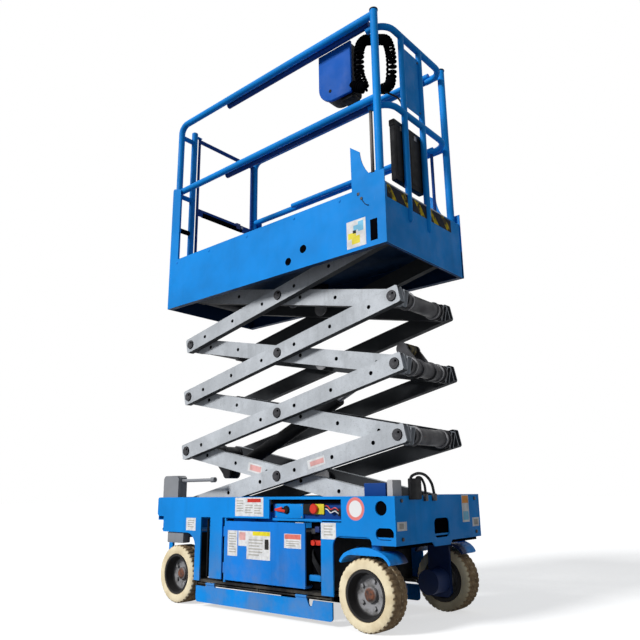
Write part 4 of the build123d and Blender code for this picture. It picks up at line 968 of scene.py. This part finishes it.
def curly_line():
    """Middle line of the coiled cable: out of the box, up, over and down in a leaning loop."""
    middle = Vector((0.764, -0.212, 2.868))
    heading = math.radians(39)
    across, upward = Vector((math.cos(heading), math.sin(heading), 0)), Vector(UP)
    bend, run, sway = 0.090, 0.078, 0.012
    points = [Vector((0.644, -0.255, 2.760)), Vector((0.662, -0.262, 2.748))]
    for share in range(11):
        turn = math.radians(222 - 306 * share / 10)
        point = middle + across * (bend * math.cos(turn)) + upward * (bend * math.sin(turn))
        lift, lean = run * max(-1, min(1, 2.2 * math.sin(turn))), sway * math.sin(3 * turn)
        points.append(point + (upward * lift + across.cross(upward) * lean))
    return smooth_path(points, 24)


def wound(line, turns, radius, steps=14, ease=40):
    """Wire wound round a line, its radius growing from nothing over the first and last steps."""
    count = turns * steps
    wire = []
    for i in range(count + 1):
        place = i / count * (len(line) - 1)
        index = min(int(place), len(line) - 2)
        spot = line[index].lerp(line[index + 1], place - index)
        ahead = (line[index + 1] - line[index]).normalized()
        out = ahead.cross(Vector((0.62, -0.78, 0.1))).normalized()
        turn = 2 * math.pi * turns * i / count
        wide = radius * min(1, i / ease, (count - i) / ease)
        wire.append(spot + wide * (math.cos(turn) * out + math.sin(turn) * ahead.cross(out)))
    return wire


coil = Piece("curly_cable", "extension", "black_plastic", ("control_cable",))
wire = wound(curly_line(), 62, 0.0235)
coil.tube(black_and_shadow, wire, 0.0074, 8)
lead = [wire[-1], (0.850, -0.135, 2.655), (0.870, -0.122, 2.580), (0.868, -0.121, 2.472)]
coil.tube(black, smooth_path(lead), 0.0055)
coil.done()


# ---------------------------------------------------------------- platform posts and entry gate
guard = Piece("guard_uprights", "platform", "blue_paint", ("guard_posts", "rear_rails"))
for y in (-POST_Y, POST_Y):
    guard.rod(blue, (FRONT_POST_X, y, 1.897), (FRONT_POST_X, y, 3.080), 0.021, 24)
guard.rod(blue, (REAR_POST_X, GATE_POST_Y, 1.897), (REAR_POST_X, GATE_POST_Y, 3.052), 0.021, 24, 0.003)
for z, look in ((2.974, blue), (2.530, blue), (2.285, black_and_shadow)):
    guard.rod(look, (REAR_POST_X, -0.330, z), (REAR_POST_X, -0.256, z), 0.016)
for low_z, high_z in ((1.9485, 1.9565), (3.0255, 3.0335)):
    guard.block(blue, (REAR_POST_X - 0.012, GATE_POST_Y, low_z), (REAR_POST_X + 0.012, -0.182, high_z), 0.001)
guard.block(black_and_shadow, (REAR_POST_X - 0.0225, -0.244, 2.130), (REAR_POST_X - 0.0205, -0.232, 2.470), 0)
guard.done()

FAR_STILE_Y = 0.312
gate = Piece("entry_bar_gate", "gate", "blue_paint", ("entry_gate",))
# painted shade: the gate's stiles, bars and kick plate are in shaded blue
for y, radius in ((HINGE_Y, 0.0095), (FAR_STILE_Y, 0.0105)):
    gate.rod(shaded_blue, (REAR_POST_X, y, 1.958), (REAR_POST_X, y, 3.024), radius)
for z, radius in ((3.008, 0.014), (1.998, 0.010)):
    gate.rod(shaded_blue, (REAR_POST_X, HINGE_Y, z), (REAR_POST_X, FAR_STILE_Y, z), radius)
for look, behind, low_y, low_z, ahead, high_y, high_z, bevel in (
        (shaded_blue, 0.008, -0.190, 2.441, 0.008, FAR_STILE_Y, 2.489, 0.003),
        (black_and_shadow, 0.009, -0.150, 2.440, 0.009, 0.220, 2.470, 0.002),
        (pad, 0.013, 0.205, 2.462, 0.012, 0.226, 2.488, 0.003),
        (navy_plastic, 0.014, 0.160, 2.452, 0.012, 0.200, 2.496, 0.004),
        (shaded_blue, 0.012, -0.178, 1.909, -0.008, 0.218, 2.055, 0.001)):
    gate.block(look, (REAR_POST_X - behind, low_y, low_z), (REAR_POST_X + ahead, high_y, high_z), bevel)
gate.done()
